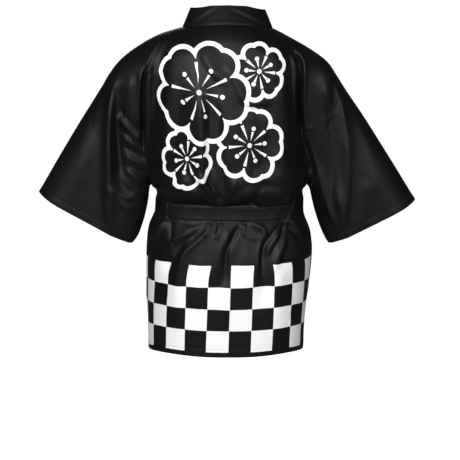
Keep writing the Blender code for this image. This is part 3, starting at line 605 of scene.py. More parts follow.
def beside_belt(x, y, z):
    """Where the cloth hangs over the belt at the two sides: 1 from the sides of the back round to the side
    seams, and 0 elsewhere. Its edge slants over the belt, more so on the right."""
    level = z - BELT_MIDDLE
    start = COVER_START + np.where(x >= 0.0, -0.1 * level, 0.45 * level)
    return smooth((np.abs(x) - start) / 7.0) * smooth((y + 38.0) / 24.0)


def lay_folds(point, body=True):
    """Lays folds and creases on points of the smooth form, and lets the hem drop towards the sides."""
    x, y, z = point[..., 0], point[..., 1], point[..., 2]
    flat = smooth((np.abs(x) - FLAT_FRONT) / FOLD_FADE)
    fine = np.where(y >= 0.0, creases(BACK_CREASES, x, z), creases(FRONT_CREASES, x, z) * flat)
    slack = creases(slack_creases(), np.where(y >= 0.0, x, -x), z, 4) * np.where(y >= 0.0, 1.0, flat)
    broad = np.where(y >= 0.0, folds(BACK_FOLDS, x, z), folds(FRONT_FOLDS, x, z) * flat)
    fade = smooth(np.abs(y) / FOLD_FADE)
    moved = point.copy()
    if not body:
        moved[..., 1] += np.sign(y) * (broad + fine + slack) * fade
        return moved
    away = np.abs(z - BELT_MIDDLE)
    calm, near_calm, under_belt = (smooth((away - start) / reach) for start, reach in
                                   ((15.0, 22.0), (14.5, 12.0), (7.0, 10.0)))

    def settle(height):
        """Ridges end at the belt's edges. Hollows go on under it."""
        return height * np.where(height < 0.0, under_belt, near_calm)

    above = smooth((z - BELT_MIDDLE) / 10.0)
    moved[..., 1] += np.sign(y) * (broad * calm + settle(fine + slack)) * fade * above
    half = of_side(HALF_WIDTH, x, z)
    full = full_depth(y >= 0.0, z)
    angle = np.degrees(np.arctan2(x / half, y / full))
    out = np.stack((x / half ** 2, y / full ** 2), -1)
    out = out / np.maximum(np.linalg.norm(out, axis=-1, keepdims=True), 1e-9)
    below = np.where(y >= 0.0, creases(SKIRT_BACK_CREASES, x, z), creases(SKIRT_FRONT_CREASES, x, z) * flat)
    gather = folds(SKIRT_FOLDS, angle, z) * calm + settle(below + slack) * smooth(np.abs(y) / 15.0)
    over_belt = COVER * beside_belt(x, y, z) * (1.0 - smooth((away - 13.0) / 22.0))
    moved[..., :2] += out * (gather * smooth((BELT_MIDDLE - z) / 10.0) + over_belt)[..., None]
    low = np.clip((BELT_BOTTOM - z) / (BELT_BOTTOM - HEM_Z), 0.0, 1.0)
    moved[..., 2] -= HEM_DROP * low * smooth((140.0 - y) / 140.0)
    return moved


def section(z):
    """Closed outline of the smooth body at one height, and the length along it. It starts at the centre
    back and runs to the left, round the front and back."""
    turn = np.linspace(0.0, 2.0 * math.pi, 1441)
    sine, cosine = np.sin(turn), np.cos(turn)
    half = of_side(HALF_WIDTH, sine, np.full(turn.shape, float(z)))
    full = full_depth(cosine >= 0.0, z)
    x = half * powered(sine, 2.0 / SECTION_POWER)
    y = full * cosine
    steps = np.hypot(np.diff(x), np.diff(y))
    return x, y, np.concatenate(([0.0], np.cumsum(steps)))


def at_arc(z, arc):
    """Points of a section, given by their distance along it from the centre back."""
    x, y, along = section(z)
    arc = np.mod(arc, along[-1])
    return np.stack((np.interp(arc, along, x), np.interp(arc, along, y), np.full(arc.shape, float(z))), -1)


def marks(z, side):
    """Distance along a section from the centre back to the side and to the centre front, on one side."""
    along = section(z)[2]
    last = len(along) - 1
    if side > 0:
        return along[last // 4], along[last // 2]
    return along[last] - along[3 * last // 4], along[last] - along[last // 2]


def side_seam(z, side):
    """Distance along a section from the centre back to the side seam."""
    return marks(z, side)[0] + SIDE_SEAM_TURN * smooth((UNDERARM_Z - z) / (UNDERARM_Z - HEM_Z))


def shoulder_end(side):
    return SHOULDER_END_LEFT if side > 0 else SHOULDER_END_RIGHT


def neck_side(side):
    return NECK_LEFT if side > 0 else NECK_RIGHT


def neckline(side, steps):
    """Back of the neckline on one side: a quarter of an oval, seen from above. Its height is where the
    smooth form has that depth, found by halving."""
    turn = np.linspace(0.0, math.pi / 2.0, steps + 1)
    x = side * neck_side(side) * np.sin(turn)
    y = NECK_BACK * np.cos(turn)
    high = ridge(x)
    low = high - SHOULDER_ROUND
    for _ in range(48):
        middle = (high + low) / 2.0
        beyond = depth(x, middle, "back") > y
        high, low = np.where(beyond, high, middle), np.where(beyond, middle, low)
    return np.stack((x, (high + low) / 2.0), -1)


def shoulder_line(side, steps):
    """Points in x and z along the shoulder line, from the neck to the armhole."""
    x = side * np.linspace(neck_side(side), shoulder_end(side), steps + 1)
    return np.stack((x, ridge(x)), -1)


def upper_shares():
    """Rows of a panel above the underarm, closest together at the shoulder where the form turns over."""
    share = np.linspace(0.0, 1.0, UPPER_COUNT + 1)
    return 0.12 * share + 0.88 * share ** 1.7


def lower_heights():
    return np.linspace(UNDERARM_Z, HEM_Z, LOWER_COUNT + 1)


def upper_rows(top, bottom, face):
    """Panel above the underarm, from fine points along its top edge and along the underarm row. A row lies
    a share of the way from the one to the other, at the depth of the smooth form."""
    columns = (len(top) - 1) // FINE
    even = np.linspace(0.0, 1.0, columns + 1)
    sign = 1.0 if face == "back" else -1.0
    first = None
    rows = []
    for share in upper_shares():
        x, z = (top * (1.0 - share) + bottom * share).T
        line = np.stack((x, sign * depth(x, z, face), z), -1)
        along = np.concatenate(([0.0], np.cumsum(np.linalg.norm(np.diff(line, axis=0), axis=1))))
        along /= along[-1]
        if first is None:
            first = along[::FINE]
        place = first + (even - first) * smooth(share)
        place = place + OUTWARD * share * (1.0 - share) * np.sin(math.pi * place)
        rows.append(np.stack([np.interp(place, along, line[:, axis]) for axis in range(3)], -1))
    return np.stack(rows)


def back_half(side):
    """Half of the back panel on the smooth form, columns from the centre back to the armhole and side."""
    top = np.concatenate((neckline(side, NECK_COLUMNS * FINE),
                          shoulder_line(side, SHOULDER_COLUMNS * FINE)[1:]))
    share = np.linspace(0.0, 1.0, len(top))
    bottom = at_arc(UNDERARM_Z, side * share * side_seam(UNDERARM_Z, side))
    lower = np.stack([at_arc(z, side * share[::FINE] * side_seam(z, side)) for z in lower_heights()])
    return np.concatenate((upper_rows(top, bottom[:, (0, 2)], "back")[:-1], lower))


def front_edge(z):
    return spline(FRONT_EDGE["z"], FRONT_EDGE["x"], z)


@functools.cache
def front_panel(side):
    """A front on the smooth form, columns from the armhole and side seam to the edge by the collar band."""
    top = shoulder_line(side, SHOULDER_COLUMNS * FINE)[::-1]
    share = np.linspace(0.0, 1.0, len(top))

    def row(z, share):
        start, end = side_seam(z, side), marks(z, side)[1] - front_edge(z)
        return at_arc(z, side * (start + (end - start) * share))

    upper = upper_rows(top, row(UNDERARM_Z, share)[:, (0, 2)], "front")
    return np.concatenate((upper[:-1], np.stack([row(z, share[::FINE]) for z in lower_heights()])))


def over_right(x, z):
    """How far the left front stands proud, to clear the right front and its band."""
    return LEFT_OVER * (1.0 - smooth((x - 80.0) / 50.0)) * smooth((-90.0 - z) / 60.0)


@functools.cache
def back_surface():
    """The back with its folds, columns from right to left."""
    left, right = lay_folds(back_half(1)), lay_folds(back_half(-1))
    return np.concatenate((right[:, :0:-1], left), axis=1)


@functools.cache
def front_surface(side):
    """A front with its folds, columns from the side seam to the collar band."""
    grid = lay_folds(front_panel(side))
    if side > 0:
        grid[..., 1] -= over_right(grid[..., 0], grid[..., 2])
    return grid


@functools.cache
def sleeve_surface(side):
    """A sleeve with its folds: rows go round from the outer fold, down the back, under the lower fold and
    up the front; columns go from the armhole to the cuff."""
    s = np.linspace(0.0, 1.0, SLEEVE_COLUMNS + 1) ** 1.15
    top_x = side * (shoulder_end(side) * (1.0 - s) + (CUFF_TOP_LEFT if side > 0 else CUFF_TOP_RIGHT) * s)
    top = np.stack((top_x, ridge(top_x)), -1)
    under_z = UNDERARM_Z * (1.0 - s) + CUFF_UNDER_Z * s
    under = np.stack((side * of_side(SLEEVE_UNDER, side * np.ones_like(s), under_z), under_z), -1)
    turn = np.linspace(0.0, 1.0, SLEEVE_ROWS + 1)[:, None, None]
    t = 0.15 * turn + 0.85 * (0.5 - 0.5 * np.cos(math.pi * turn))
    flat = top[None] * (1.0 - t) + under[None] * t
    x, z = flat[..., 0], flat[..., 1]
    inner = (smooth(t / 0.3) * smooth((1.0 - t) / 0.14) * smooth(s[None, :, None] / 0.15))[..., 0]

    def even_depth(face):
        """Depth of the smooth form. Inside the sleeve's edges it is the mean over a little height, so that
        the cloth doesn't break off at the underarm."""
        near = sum(depth(x, z + lift, face, True) for lift in (-27, -18, -9, 0, 9, 18, 27)) / 7.0
        return depth(x, z, face, True) * (1.0 - inner) + near * inner

    back = np.stack((x, even_depth("back"), z), -1)
    front = np.stack((x, -even_depth("front"), z), -1)
    return lay_folds(np.concatenate((back, front[-2:0:-1])), body=False)


def askew(across, up):
    """The check runs a little askew on the cloth: its lower rows lie further to the left."""
    return across - CHECK_SLANT * (1.0 - up / 200.0)


def arc_lengths(grid, axis):
    """Length along each line of a grid, from its first point."""
    steps = np.linalg.norm(np.diff(grid, axis=axis), axis=-1)
    start = np.zeros_like(np.take(steps, [0], axis=axis))
    return np.concatenate((start, np.cumsum(steps, axis=axis)), axis=axis)


def heights_on_cloth(grid):
    """How far above the hem each point of a panel lies on the flat cloth. Below the underarm a row counts
    as it does at the centre back, because the cloth is drawn down a little towards the sides."""
    up = arc_lengths(grid[::-1], 0)[::-1]
    back = back_surface()
    middle = back.shape[1] // 2
    level = arc_lengths(back[::-1, middle:middle + 1], 0)[LOWER_COUNT::-1]
    first = len(up) - 1 - LOWER_COUNT
    return np.concatenate((level[:1] + up[:first] - up[first:first + 1], level + 0.0 * up[first:]))


def outward_normals(grid, wrap=False):
    """Unit normals of a grid, from the differences along its rows and columns, turned to face away from
    the plane y = 0. The second value is 1 if rows crossed with columns already faced that way, or -1."""
    padded = np.concatenate((grid[-1:], grid, grid[:1])) if wrap else grid
    down = np.gradient(padded, axis=0)[1:-1] if wrap else np.gradient(padded, axis=0)
    normal = np.cross(down, np.gradient(grid, axis=1))
    normal /= np.maximum(np.linalg.norm(normal, axis=-1, keepdims=True), 1e-9)
    sign = 1.0 if np.sum(normal[..., 1] * grid[..., 1]) > 0.0 else -1.0
    return normal * sign, sign


def sew(grid, seams, hem=None, wrap=False):
    """Cloth as it looks once sewn: it sinks at its seams, with small waves beside them, and is a little
    thicker where the hem is turned up, down to the line of stitches."""
    normal, _ = outward_normals(grid, wrap)
    along = {"rows": arc_lengths(grid, 0), "columns": arc_lengths(grid, 1)}
    off = {
        "top": (along["rows"], along["columns"]),
        "bottom": (along["rows"][-1:] - along["rows"], along["columns"]),
        "first": (along["columns"], along["rows"]),
        "last": (along["columns"][:, -1:] - along["columns"], along["rows"]),
    }
    lift = np.zeros(grid.shape[:2])
    for seam in seams:
        distance, run = off[seam]
        lift -= SEAM_DIP * np.exp(-(distance / SEAM_REACH) ** 2)
        wave = np.sin(2.0 * math.pi * run / PUCKER_LENGTH + 1.7 * np.sin(run / 23.0))
        lift += PUCKER * wave * np.exp(-((distance - 4.0) / 5.0) ** 2)
    if hem:
        distance, width = off[hem[0]][0], hem[1]
        lift += 0.35 * (1.0 - smooth((distance - width + 1.0) / 3.0))
        lift -= 0.45 * np.exp(-((distance - width) / 2.6) ** 2)
    return grid + lift[..., None] * normal


def place_mesh(name, mesh):
    """Puts a mesh into the scene as one object."""
    piece = bpy.data.objects.new(name, mesh)
    bpy.context.scene.collection.objects.link(piece)
    return piece


def make_piece(name, grid, materials, maps=None, wrap_rows=False, wrap_columns=False, caps=False):
    """One mesh from a grid of points in millimetres, its faces pointing out, with UV maps in metres of
    cloth. Rows or columns may close on themselves, and caps close the first and last column of a tube."""
    rows, columns = grid.shape[:2]
    index = closed(np.arange(rows * columns).reshape(rows, columns), wrap_rows, wrap_columns)
    before, after = np.s_[:-1], np.s_[1:]
    corners = ((before, before), (after, before), (after, after), (before, after))
    quads = np.stack([index[corner] for corner in corners], -1).reshape(-1, 4)
    points = grid.reshape(-1, 3) * MM
    if wrap_rows and (wrap_columns or caps):
        a, b, c, d = (points[quads[:, k]] for k in range(4))
        volume = np.sum(np.cross(b - a, c - a) * (a + c) + np.cross(c - a, d - a) * (a + c))
        sign = 1.0 if volume > 0.0 else -1.0
    else:
        sign = outward_normals(grid, wrap_rows)[1]
    order = slice(None) if sign > 0.0 else slice(None, None, -1)
    faces = quads[:, order].tolist()
    if caps:
        first, last = index[:-1, 0].tolist(), index[:-1, -1].tolist()
        faces += [first[::-1] if sign < 0.0 else first, last if sign < 0.0 else last[::-1]]
    mesh = bpy.data.meshes.new(name)
    mesh.from_pydata(points.tolist(), [], faces)
    for label, uv in (maps or {}).items():
        loops = np.stack([uv[corner] for corner in corners], -2).reshape(-1, 4, 2)[:, order].reshape(-1, 2)
        spare = len(mesh.loops) - len(loops)
        layer = mesh.uv_layers.new(name=label)
        layer.data.foreach_set("uv", np.concatenate((loops, np.zeros((spare, 2)))).astype(np.float32).ravel())
    mesh.shade_smooth()
    for material in materials:
        mesh.materials.append(material)
    return place_mesh(name, mesh)


def closed(grid, wrap_rows=False, wrap_columns=False):
    """The grid with its first row or column again at the end, where it closes on itself."""
    if wrap_rows:
        grid = np.concatenate((grid, grid[:1]))
    if wrap_columns:
        grid = np.concatenate((grid, grid[:, :1]), axis=1)
    return grid


def cloth_map(grid, wrap_rows=False, wrap_columns=False):
    """UV map in metres of cloth: along the columns' direction and along the rows' direction."""
    grid = closed(grid, wrap_rows, wrap_columns)
    return np.stack((arc_lengths(grid, 1), arc_lengths(grid, 0)), -1) * MM


def give_thickness(piece):
    """Turns a surface into a thin shell of cloth, inwards from the outer face."""
    shell = piece.modifiers.new("cloth", "SOLIDIFY")
    shell.thickness = bpy.context.scene.happi_sizes.cloth
    shell.offset = -1.0
    shell.use_quality_normals = True
    shell.material_offset = 1


def dress(piece, node):
    """Makes a cloth piece move with the root and hides the part of the model that it was made from."""
    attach(piece, "root")
    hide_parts(node)


def line_at(grid, distance, edge):
    """Points of a surface at a distance from one of its edges, along the cloth, and the normals there."""
    turned = {"bottom": np.s_[::-1], "top": np.s_[:]}.get(edge)
    normal, _ = outward_normals(grid)
    if turned is None:
        grid, normal = grid.transpose(1, 0, 2), normal.transpose(1, 0, 2)
        turned = np.s_[::-1] if edge == "last" else np.s_[:]
    grid, normal = grid[turned], normal[turned]
    along = arc_lengths(grid, 0)
    row = np.clip((along < distance).sum(axis=0), 1, len(grid) - 1)[None]
    before, after = np.take_along_axis(along, row - 1, 0)[0], np.take_along_axis(along, row, 0)[0]
    t = ((distance - before) / (after - before))[:, None]
    pick = row[..., None]

    def between(values):
        lower, upper = np.take_along_axis(values, pick - 1, 0)[0], np.take_along_axis(values, pick, 0)[0]
        return lower * (1.0 - t) + upper * t

    return between(grid), between(normal)


def make_stitches(name, lines, material):
    """A row of stitches along each line: small capsules, a pitch apart, that lie half in the cloth.

    Each capsule is three rings of five points with a point at each end, carried to its place on the line
    by the line's direction, the cloth's normal and their cross product.
    """
    turn = np.arange(5) * 2.0 * math.pi / 5.0
    rings = [(-0.36, 0.8), (0.0, 1.0), (0.36, 0.8)]
    local = [(-0.5, 0.0, 0.0)]
    local += [(a * 1.0, r * math.cos(t), r * math.sin(t)) for a, r in rings for t in turn]
    local = np.array(local + [(0.5, 0.0, 0.0)]) * (STITCH_LENGTH, STITCH_RADIUS, STITCH_RADIUS)
    ring = np.arange(5)
    nxt = np.roll(ring, -1)
    faces = [(0, 1 + b, 1 + a) for a, b in zip(ring, nxt)]
    faces += [(1 + k * 5 + a, 1 + k * 5 + b, 6 + k * 5 + b, 6 + k * 5 + a) for k in (0, 1)
              for a, b in zip(ring, nxt)]
    faces += [(16, 11 + a, 11 + b) for a, b in zip(ring, nxt)]
    points, polygons = [], []
    for line, normal in lines:
        along = arc_lengths(line[:, None], 0)[:, 0]
        places = np.arange(STITCH_PITCH, along[-1] - STITCH_PITCH, STITCH_PITCH)
        centre, up, ahead = (np.stack([np.interp(places, along, values[:, k]) for k in range(3)], -1)
                             for values in (line, normal, np.gradient(line, axis=0)))
        ahead /= np.linalg.norm(ahead, axis=1, keepdims=True)
        across = np.cross(ahead, up)
        across /= np.linalg.norm(across, axis=1, keepdims=True)
        up = np.cross(across, ahead)
        axes = np.stack((ahead, up, across), 1)
        start = sum(len(block) for block in points)
        points.append((centre[:, None] + np.einsum("pk,nkc->npc", local, axes)).reshape(-1, 3))
        offsets = start + np.arange(len(places)) * len(local)
        polygons += [tuple(int(offset + i) for i in face) for offset in offsets for face in faces]
    mesh = bpy.data.meshes.new(name)
    mesh.from_pydata((np.concatenate(points) * MM).tolist(), [], polygons)
    mesh.shade_smooth()
    mesh.materials.append(material)
    piece = place_mesh(name, mesh)
    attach(piece, "root")
    return piece


# Materials

BELT_DULL = 0.06             # what the belt's doubled cloth adds to the roughness
INSIDE_DULL = 0.12           # and what the inside of the cloth adds
BUMP_DEPTH = 0.00005         # of the weave, in metres


class Nodes:
    """Adds nodes to a tree. An input is a number, a colour, or another node's output."""

    def __init__(self, tree):
        self.tree = tree

    def add(self, kind, inputs=(), **settings):
        made = self.tree.nodes.new(kind)
        for name, value in settings.items():
            setattr(made, name, value)
        for key, value in dict(inputs).items():
            if isinstance(value, bpy.types.NodeSocket):
                self.tree.links.new(value, made.inputs[key])
            else:
                made.inputs[key].default_value = value
        return made

    def math(self, operation, *values):
        return self.add("ShaderNodeMath", enumerate(values), operation=operation).outputs[0]

    def vector(self, operation, *values, output="Vector"):
        return self.add("ShaderNodeVectorMath", enumerate(values), operation=operation).outputs[output]

    def length(self, x, y):
        return self.math("SQRT", self.math("ADD", self.math("MULTIPLY", x, x), self.math("MULTIPLY", y, y)))

    def less(self, value, limit):
        return self.math("LESS_THAN", value, limit)

    def blend(self, share, first, second):
        mix = self.add("ShaderNodeMix", data_type="RGBA")
        for socket, value in zip((mix.inputs[0], mix.inputs[6], mix.inputs[7]), (share, first, second)):
            if isinstance(value, bpy.types.NodeSocket):
                self.tree.links.new(value, socket)
            else:
                socket.default_value = value
        return mix.outputs[2]

    def group(self, tree, **inputs):
        made = self.add("ShaderNodeGroup", node_tree=tree)
        for name, value in inputs.items():
            socket = made.inputs[name.replace("_", " ")]
            if isinstance(value, bpy.types.NodeSocket):
                self.tree.links.new(value, socket)
            else:
                socket.default_value = value
        return made.outputs


def new_group(name, inputs, outputs):
    """A shader group with named sockets. Gives the tree, its builder, its inputs and its output node."""
    tree = bpy.data.node_groups.new(name, "ShaderNodeTree")
    for label, kind in inputs:
        tree.interface.new_socket(label, in_out="INPUT", socket_type="NodeSocket" + kind)
    for label in outputs:
        tree.interface.new_socket(label, in_out="OUTPUT", socket_type="NodeSocketFloat")
    build = Nodes(tree)
    return tree, build, build.add("NodeGroupInput").outputs, build.add("NodeGroupOutput")


@functools.cache
def weave_group():
    """Plain weave: the product of two cosines, one along the warp and one along the weft, stands for the
    threads passing over and under each other. Slubs are a noise drawn out along the weft."""
    tree, build, given, out = new_group("Plain weave", (("Vector", "Vector"), ("Thread", "Float")),
                                        ("Height", "Slub"))
    cell = build.vector("SCALE", given["Vector"])
    tree.links.new(build.math("DIVIDE", 2.0 * math.pi, given["Thread"]), cell.node.inputs["Scale"])
    part = build.add("ShaderNodeSeparateXYZ", {0: cell}).outputs
    threads = build.math("MULTIPLY", build.math("COSINE", part[0]), build.math("COSINE", part[1]))
    stretched = build.vector("MULTIPLY", given["Vector"], (90.0, 1400.0, 1.0))
    slub = build.add("ShaderNodeTexNoise", {"Vector": stretched, "Scale": 1.0, "Detail": 1.0}).outputs[0]
    tree.links.new(threads, out.inputs["Height"])
    tree.links.new(slub, out.inputs["Slub"])
    return tree


@functools.cache
def check_group():
    """Check: a square is printed where its column and row numbers add up to an even one. Four rows lie
    above a margin along the hem."""
    tree, build, given, out = new_group(
        "Hem check", (("Vector", "Vector"), ("Square", "Float"), ("Margin", "Float"), ("Shift", "Float")),
        ("Mask",))
    part = build.add("ShaderNodeSeparateXYZ", {0: given["Vector"]}).outputs
    column = build.math("FLOOR", build.math("DIVIDE", build.math("ADD", part[0], given["Shift"]),
                                            given["Square"]))
    row = build.math("FLOOR", build.math("DIVIDE", build.math("SUBTRACT", part[1], given["Margin"]),
                                         given["Square"]))
    odd = build.math("PINGPONG", build.math("ADD", column, row), 1.0)
    inside = build.math("MULTIPLY", build.math("GREATER_THAN", row, -0.5), build.less(row, 3.5))
    tree.links.new(build.math("MULTIPLY", inside, build.less(odd, 0.5)), out.inputs["Mask"])
    return tree


@functools.cache
def blossom_group():
    """Blossom with five notched petals, as a distance in metres from its outline.

    The angle is folded into half a petal, so that one circle off the petal's axis draws all ten rounds.
    The outline is a band along the union of that circle and a disc. Short strokes part the petals, drops
    lie on their axes and a dot marks the middle.
    """
    tree, build, given, out = new_group(
        "Blossom", (("Vector", "Vector"), ("Centre", "Vector"), ("Radius", "Float"), ("Line", "Float"),
                    ("Turn", "Float")), ("Mask", "Inside"))
    radius, line = given["Radius"], given["Line"]
    place = build.vector("SUBTRACT", given["Vector"], given["Centre"])
    part = build.add("ShaderNodeSeparateXYZ", {0: place}).outputs
    away = build.length(part[0], part[1])
    angle = build.math("ADD", build.math("ARCTAN2", part[1], part[0]), given["Turn"])
    half_petal = math.pi / 5.0
    folded = build.math("PINGPONG", build.math("ADD", angle, 20.0 * half_petal), half_petal)

    def from_point(reach, turn):
        """Distance from a point at a share of the radius and an angle from the petal's axis."""
        x = build.math("SUBTRACT", build.math("MULTIPLY", away, build.math("COSINE", folded)),
                       build.math("MULTIPLY", radius, reach * math.cos(turn)))
        y = build.math("SUBTRACT", build.math("MULTIPLY", away, build.math("SINE", folded)),
                       build.math("MULTIPLY", radius, reach * math.sin(turn)))
        return build.length(x, y)

    petal = build.math("SUBTRACT", from_point(0.68, math.radians(12.0)), build.math("MULTIPLY", radius, 0.32))
    disc = build.math("SUBTRACT", away, build.math("MULTIPLY", radius, 0.72))
    edge = build.math("MINIMUM", petal, disc)
    half_line = build.math("MULTIPLY", line, 0.5)
    outline = build.less(build.math("ABSOLUTE", edge), half_line)

    def stroke(turn, start, end, width):
        """A stroke along a ray between two shares of the radius, wider at its far end."""
        share = build.math("DIVIDE", away, radius)
        beside = build.math("ABSOLUTE", build.math("MULTIPLY", away, build.math(
            "SINE", build.math("SUBTRACT", folded, turn))))
        swell = build.math("MULTIPLY", build.math("SUBTRACT", share, start), width / (end - start))
        inside = build.math("MULTIPLY", build.math("GREATER_THAN", share, start), build.less(share, end))
        return build.math("MULTIPLY", inside, build.less(beside, build.math("MULTIPLY", swell, line)))

    marks = outline
    for extra in (stroke(half_petal, 0.16, 0.6, 0.36), stroke(0.0, 0.12, 0.38, 0.3),
                  build.less(from_point(0.47, 0.0), build.math("MULTIPLY", line, 0.5)),
                  build.less(away, build.math("MULTIPLY", line, 0.55))):
        marks = build.math("MAXIMUM", marks, extra)
    tree.links.new(marks, out.inputs["Mask"])
    tree.links.new(build.less(edge, half_line), out.inputs["Inside"])
    return tree


# Blossoms of the print: place from the middle of the print, radius, line and turn in degrees
BLOSSOMS = (
    (38.0, 47.0, 107.0, 10.0, 97.0),
    (-70.0, -64.0, 76.0, 9.5, 40.0),
    (82.0, -94.0, 64.0, 9.5, 12.0),
    (-90.0, 90.0, 60.0, 9.5, 66.0),
)
PRINT_MIDDLE = (25.0, -174.0)


def print_mask(build):
    """Mask of the blossoms, each in front of those after it."""
    place = build.add("ShaderNodeUVMap", uv_map="print").outputs[0]
    mask, cover = None, None
    for x, y, radius, line, turn in BLOSSOMS:
        found = build.group(blossom_group(), Vector=place, Centre=(x * MM, y * MM, 0.0), Radius=radius * MM,
                            Line=line * MM, Turn=math.radians(turn))
        if mask is None:
            mask, cover = found["Mask"], found["Inside"]
            continue
        seen = build.math("MULTIPLY", found["Mask"], build.math("SUBTRACT", 1.0, cover))
        mask = build.math("MAXIMUM", mask, seen)
        cover = build.math("MAXIMUM", cover, found["Inside"])
    return mask


@functools.cache
def cloth_material(name, check=False, print_=False, dull=0.0):
    """Black satin polyester: weave and slubs in the bump, a little lint and wear in colour and gloss, and
    the white print over it where it has one."""
    colours, sizes = bpy.context.scene.happi_colours, bpy.context.scene.happi_sizes
    material = bpy.data.materials.new(name)
    material.use_nodes = True
    tree = material.node_tree
    build = Nodes(tree)
    shader = tree.nodes["Principled BSDF"]
    cloth = build.add("ShaderNodeUVMap", uv_map="cloth").outputs[0]
    weave = build.group(weave_group(), Vector=cloth, Thread=sizes.thread)
    place = build.add("ShaderNodeTexCoord").outputs["Object"]
    worn = build.add("ShaderNodeTexNoise", {"Vector": place, "Scale": 14.0, "Detail": 3.0}).outputs[0]
    tone = build.blend(worn, (*[0.75 * c for c in colours.cloth], 1.0),
                       (*[1.3 * c for c in colours.cloth], 1.0))
    rough = build.math("ADD", colours.gloss_roughness + dull, build.math("MULTIPLY", worn, 0.08))
    mask = None
    if check:
        mask = build.group(check_group(), Vector=cloth, Square=sizes.square, Margin=sizes.margin,
                           Shift=sizes.shift)["Mask"]
    if print_:
        flower = print_mask(build)
        mask = build.math("MAXIMUM", mask, flower) if mask else flower
    if mask:
        white = build.blend(weave["Slub"], (*[0.94 * c for c in colours.print], 1.0), (*colours.print, 1.0))
        tone = build.blend(mask, tone, white)
        rough = build.math("ADD", rough, build.math("MULTIPLY", mask, 0.12))
    height = build.math("ADD", build.math("MULTIPLY", weave["Height"], 0.5),
                        build.math("MULTIPLY", weave["Slub"], 0.9))
    given = {"Height": height, "Strength": 0.35, "Distance": BUMP_DEPTH}
    bump = build.add("ShaderNodeBump", given).outputs[0]
    tree.links.new(tone, shader.inputs["Base Color"])
    tree.links.new(rough, shader.inputs["Roughness"])
    tree.links.new(bump, shader.inputs["Normal"])
    shader.inputs["Specular IOR Level"].default_value = 0.25
    shader.inputs["Sheen Weight"].default_value = 0.012
    shader.inputs["Sheen Roughness"].default_value = 0.4
    return material


@functools.cache
def thread_material():
    """Sewing thread, a shade lighter than the cloth, with its twist as fine bands."""
    material = bpy.data.materials.new("sewing_thread")
    material.use_nodes = True
    build = Nodes(material.node_tree)
    shader = material.node_tree.nodes["Principled BSDF"]
    place = build.add("ShaderNodeTexCoord").outputs["Object"]
    twist = build.add("ShaderNodeTexWave", {"Vector": place, "Scale": 900.0, "Distortion": 1.0}).outputs[1]
    thread = bpy.context.scene.happi_colours.thread
    tone = build.blend(twist, (*thread, 1.0), (*[1.8 * c for c in thread], 1.0))
    material.node_tree.links.new(tone, shader.inputs["Base Color"])
    shader.inputs["Roughness"].default_value = 0.5
    return material


def cloth_pair(name, **choices):
    """Materials of the outer face and of the inside, which has no print."""
    return (cloth_material(name, **choices), cloth_material("inside_cloth", dull=INSIDE_DULL))


# Sizes and colours

class HappiSizes(bpy.types.PropertyGroup):
    cloth: FloatProperty(name="Cloth", description="Thickness of the cloth", default=0.0006, unit="LENGTH")
    thread: FloatProperty(name="Thread", description="From one warp thread to the next but one",
                          default=0.0007, unit="LENGTH")
    square: FloatProperty(name="Square", description="Side of a square of the check", default=0.05,
                          unit="LENGTH")
    margin: FloatProperty(name="Margin", description="Plain cloth between the check and the hem",
                          default=0.0115, unit="LENGTH")
    shift: FloatProperty(name="Shift", description="How far the check lies off the centre back",
                         default=0.005, unit="LENGTH")


class HappiColours(bpy.types.PropertyGroup):
    cloth: FloatVectorProperty(name="Cloth", description="The black of the cloth", subtype="COLOR",
                               default=(0.0016, 0.0016, 0.0017))
    print: FloatVectorProperty(name="Print", description="The white of the print", subtype="COLOR",
                               default=(0.86, 0.86, 0.87))
    thread: FloatVectorProperty(name="Thread", description="Sewing thread", subtype="COLOR",
                                default=(0.012, 0.012, 0.013))
    floor: FloatVectorProperty(name="Floor", description="The studio's floor", subtype="COLOR",
                               default=(0.3, 0.3, 0.3))
    gloss_roughness: FloatProperty(name="Gloss roughness", description="Roughness of the satin's face",
                                   default=0.5, min=0.0, max=1.0)


# Pieces


class HAPPI_OT_back(bpy.types.Operator):
    """Back panel, with the print and the check"""
    bl_idname = "happi.back"
    bl_label = "Back panel"

    def execute(self, context):
        grid = back_surface()
        centre = grid.shape[1] // 2
        across = arc_lengths(grid, 1)
        across = across - across[:, centre:centre + 1]
        up = heights_on_cloth(grid)
        cloth = np.stack((askew(across, up), up), -1) * MM
        down = arc_lengths(grid[:, centre:centre + 1], 0)[:, 0]
        height = np.interp(-grid[..., 2], -grid[:, centre, 2], -down)
        middle = np.interp(-PRINT_MIDDLE[1], -grid[:, centre, 2], -down)
        flat_print = np.stack((across - PRINT_MIDDLE[0], height - middle), -1) * MM
        sewn = sew(grid, ("top", "first", "last"), ("bottom", HEM_FOLD))
        piece = make_piece("back_panel_cloth", sewn, cloth_pair("printed_cloth", check=True, print_=True),
                           {"cloth": cloth, "print": flat_print})
        give_thickness(piece)
        dress(piece, "back_panel")
        return {"FINISHED"}


class HAPPI_OT_fronts(bpy.types.Operator):
    """Left and right front, with the check"""
    bl_idname = "happi.fronts"
    bl_label = "Fronts"

    def execute(self, context):
        for side, name in ((1, "front_left"), (-1, "front_right")):
            grid = front_surface(side)
            start = [side_seam(z, side) for z in (UNDERARM_Z, HEM_Z)]
            across = side * (arc_lengths(grid, 1) + start[1])
            up = heights_on_cloth(grid)
            cloth = np.stack((askew(across, up), up), -1) * MM
            sewn = sew(grid, ("top", "first", "last"), ("bottom", HEM_FOLD))
            piece = make_piece(name + "_cloth", sewn, cloth_pair("checked_cloth", check=True),
                               {"cloth": cloth})
            give_thickness(piece)
            dress(piece, name)
        return {"FINISHED"}


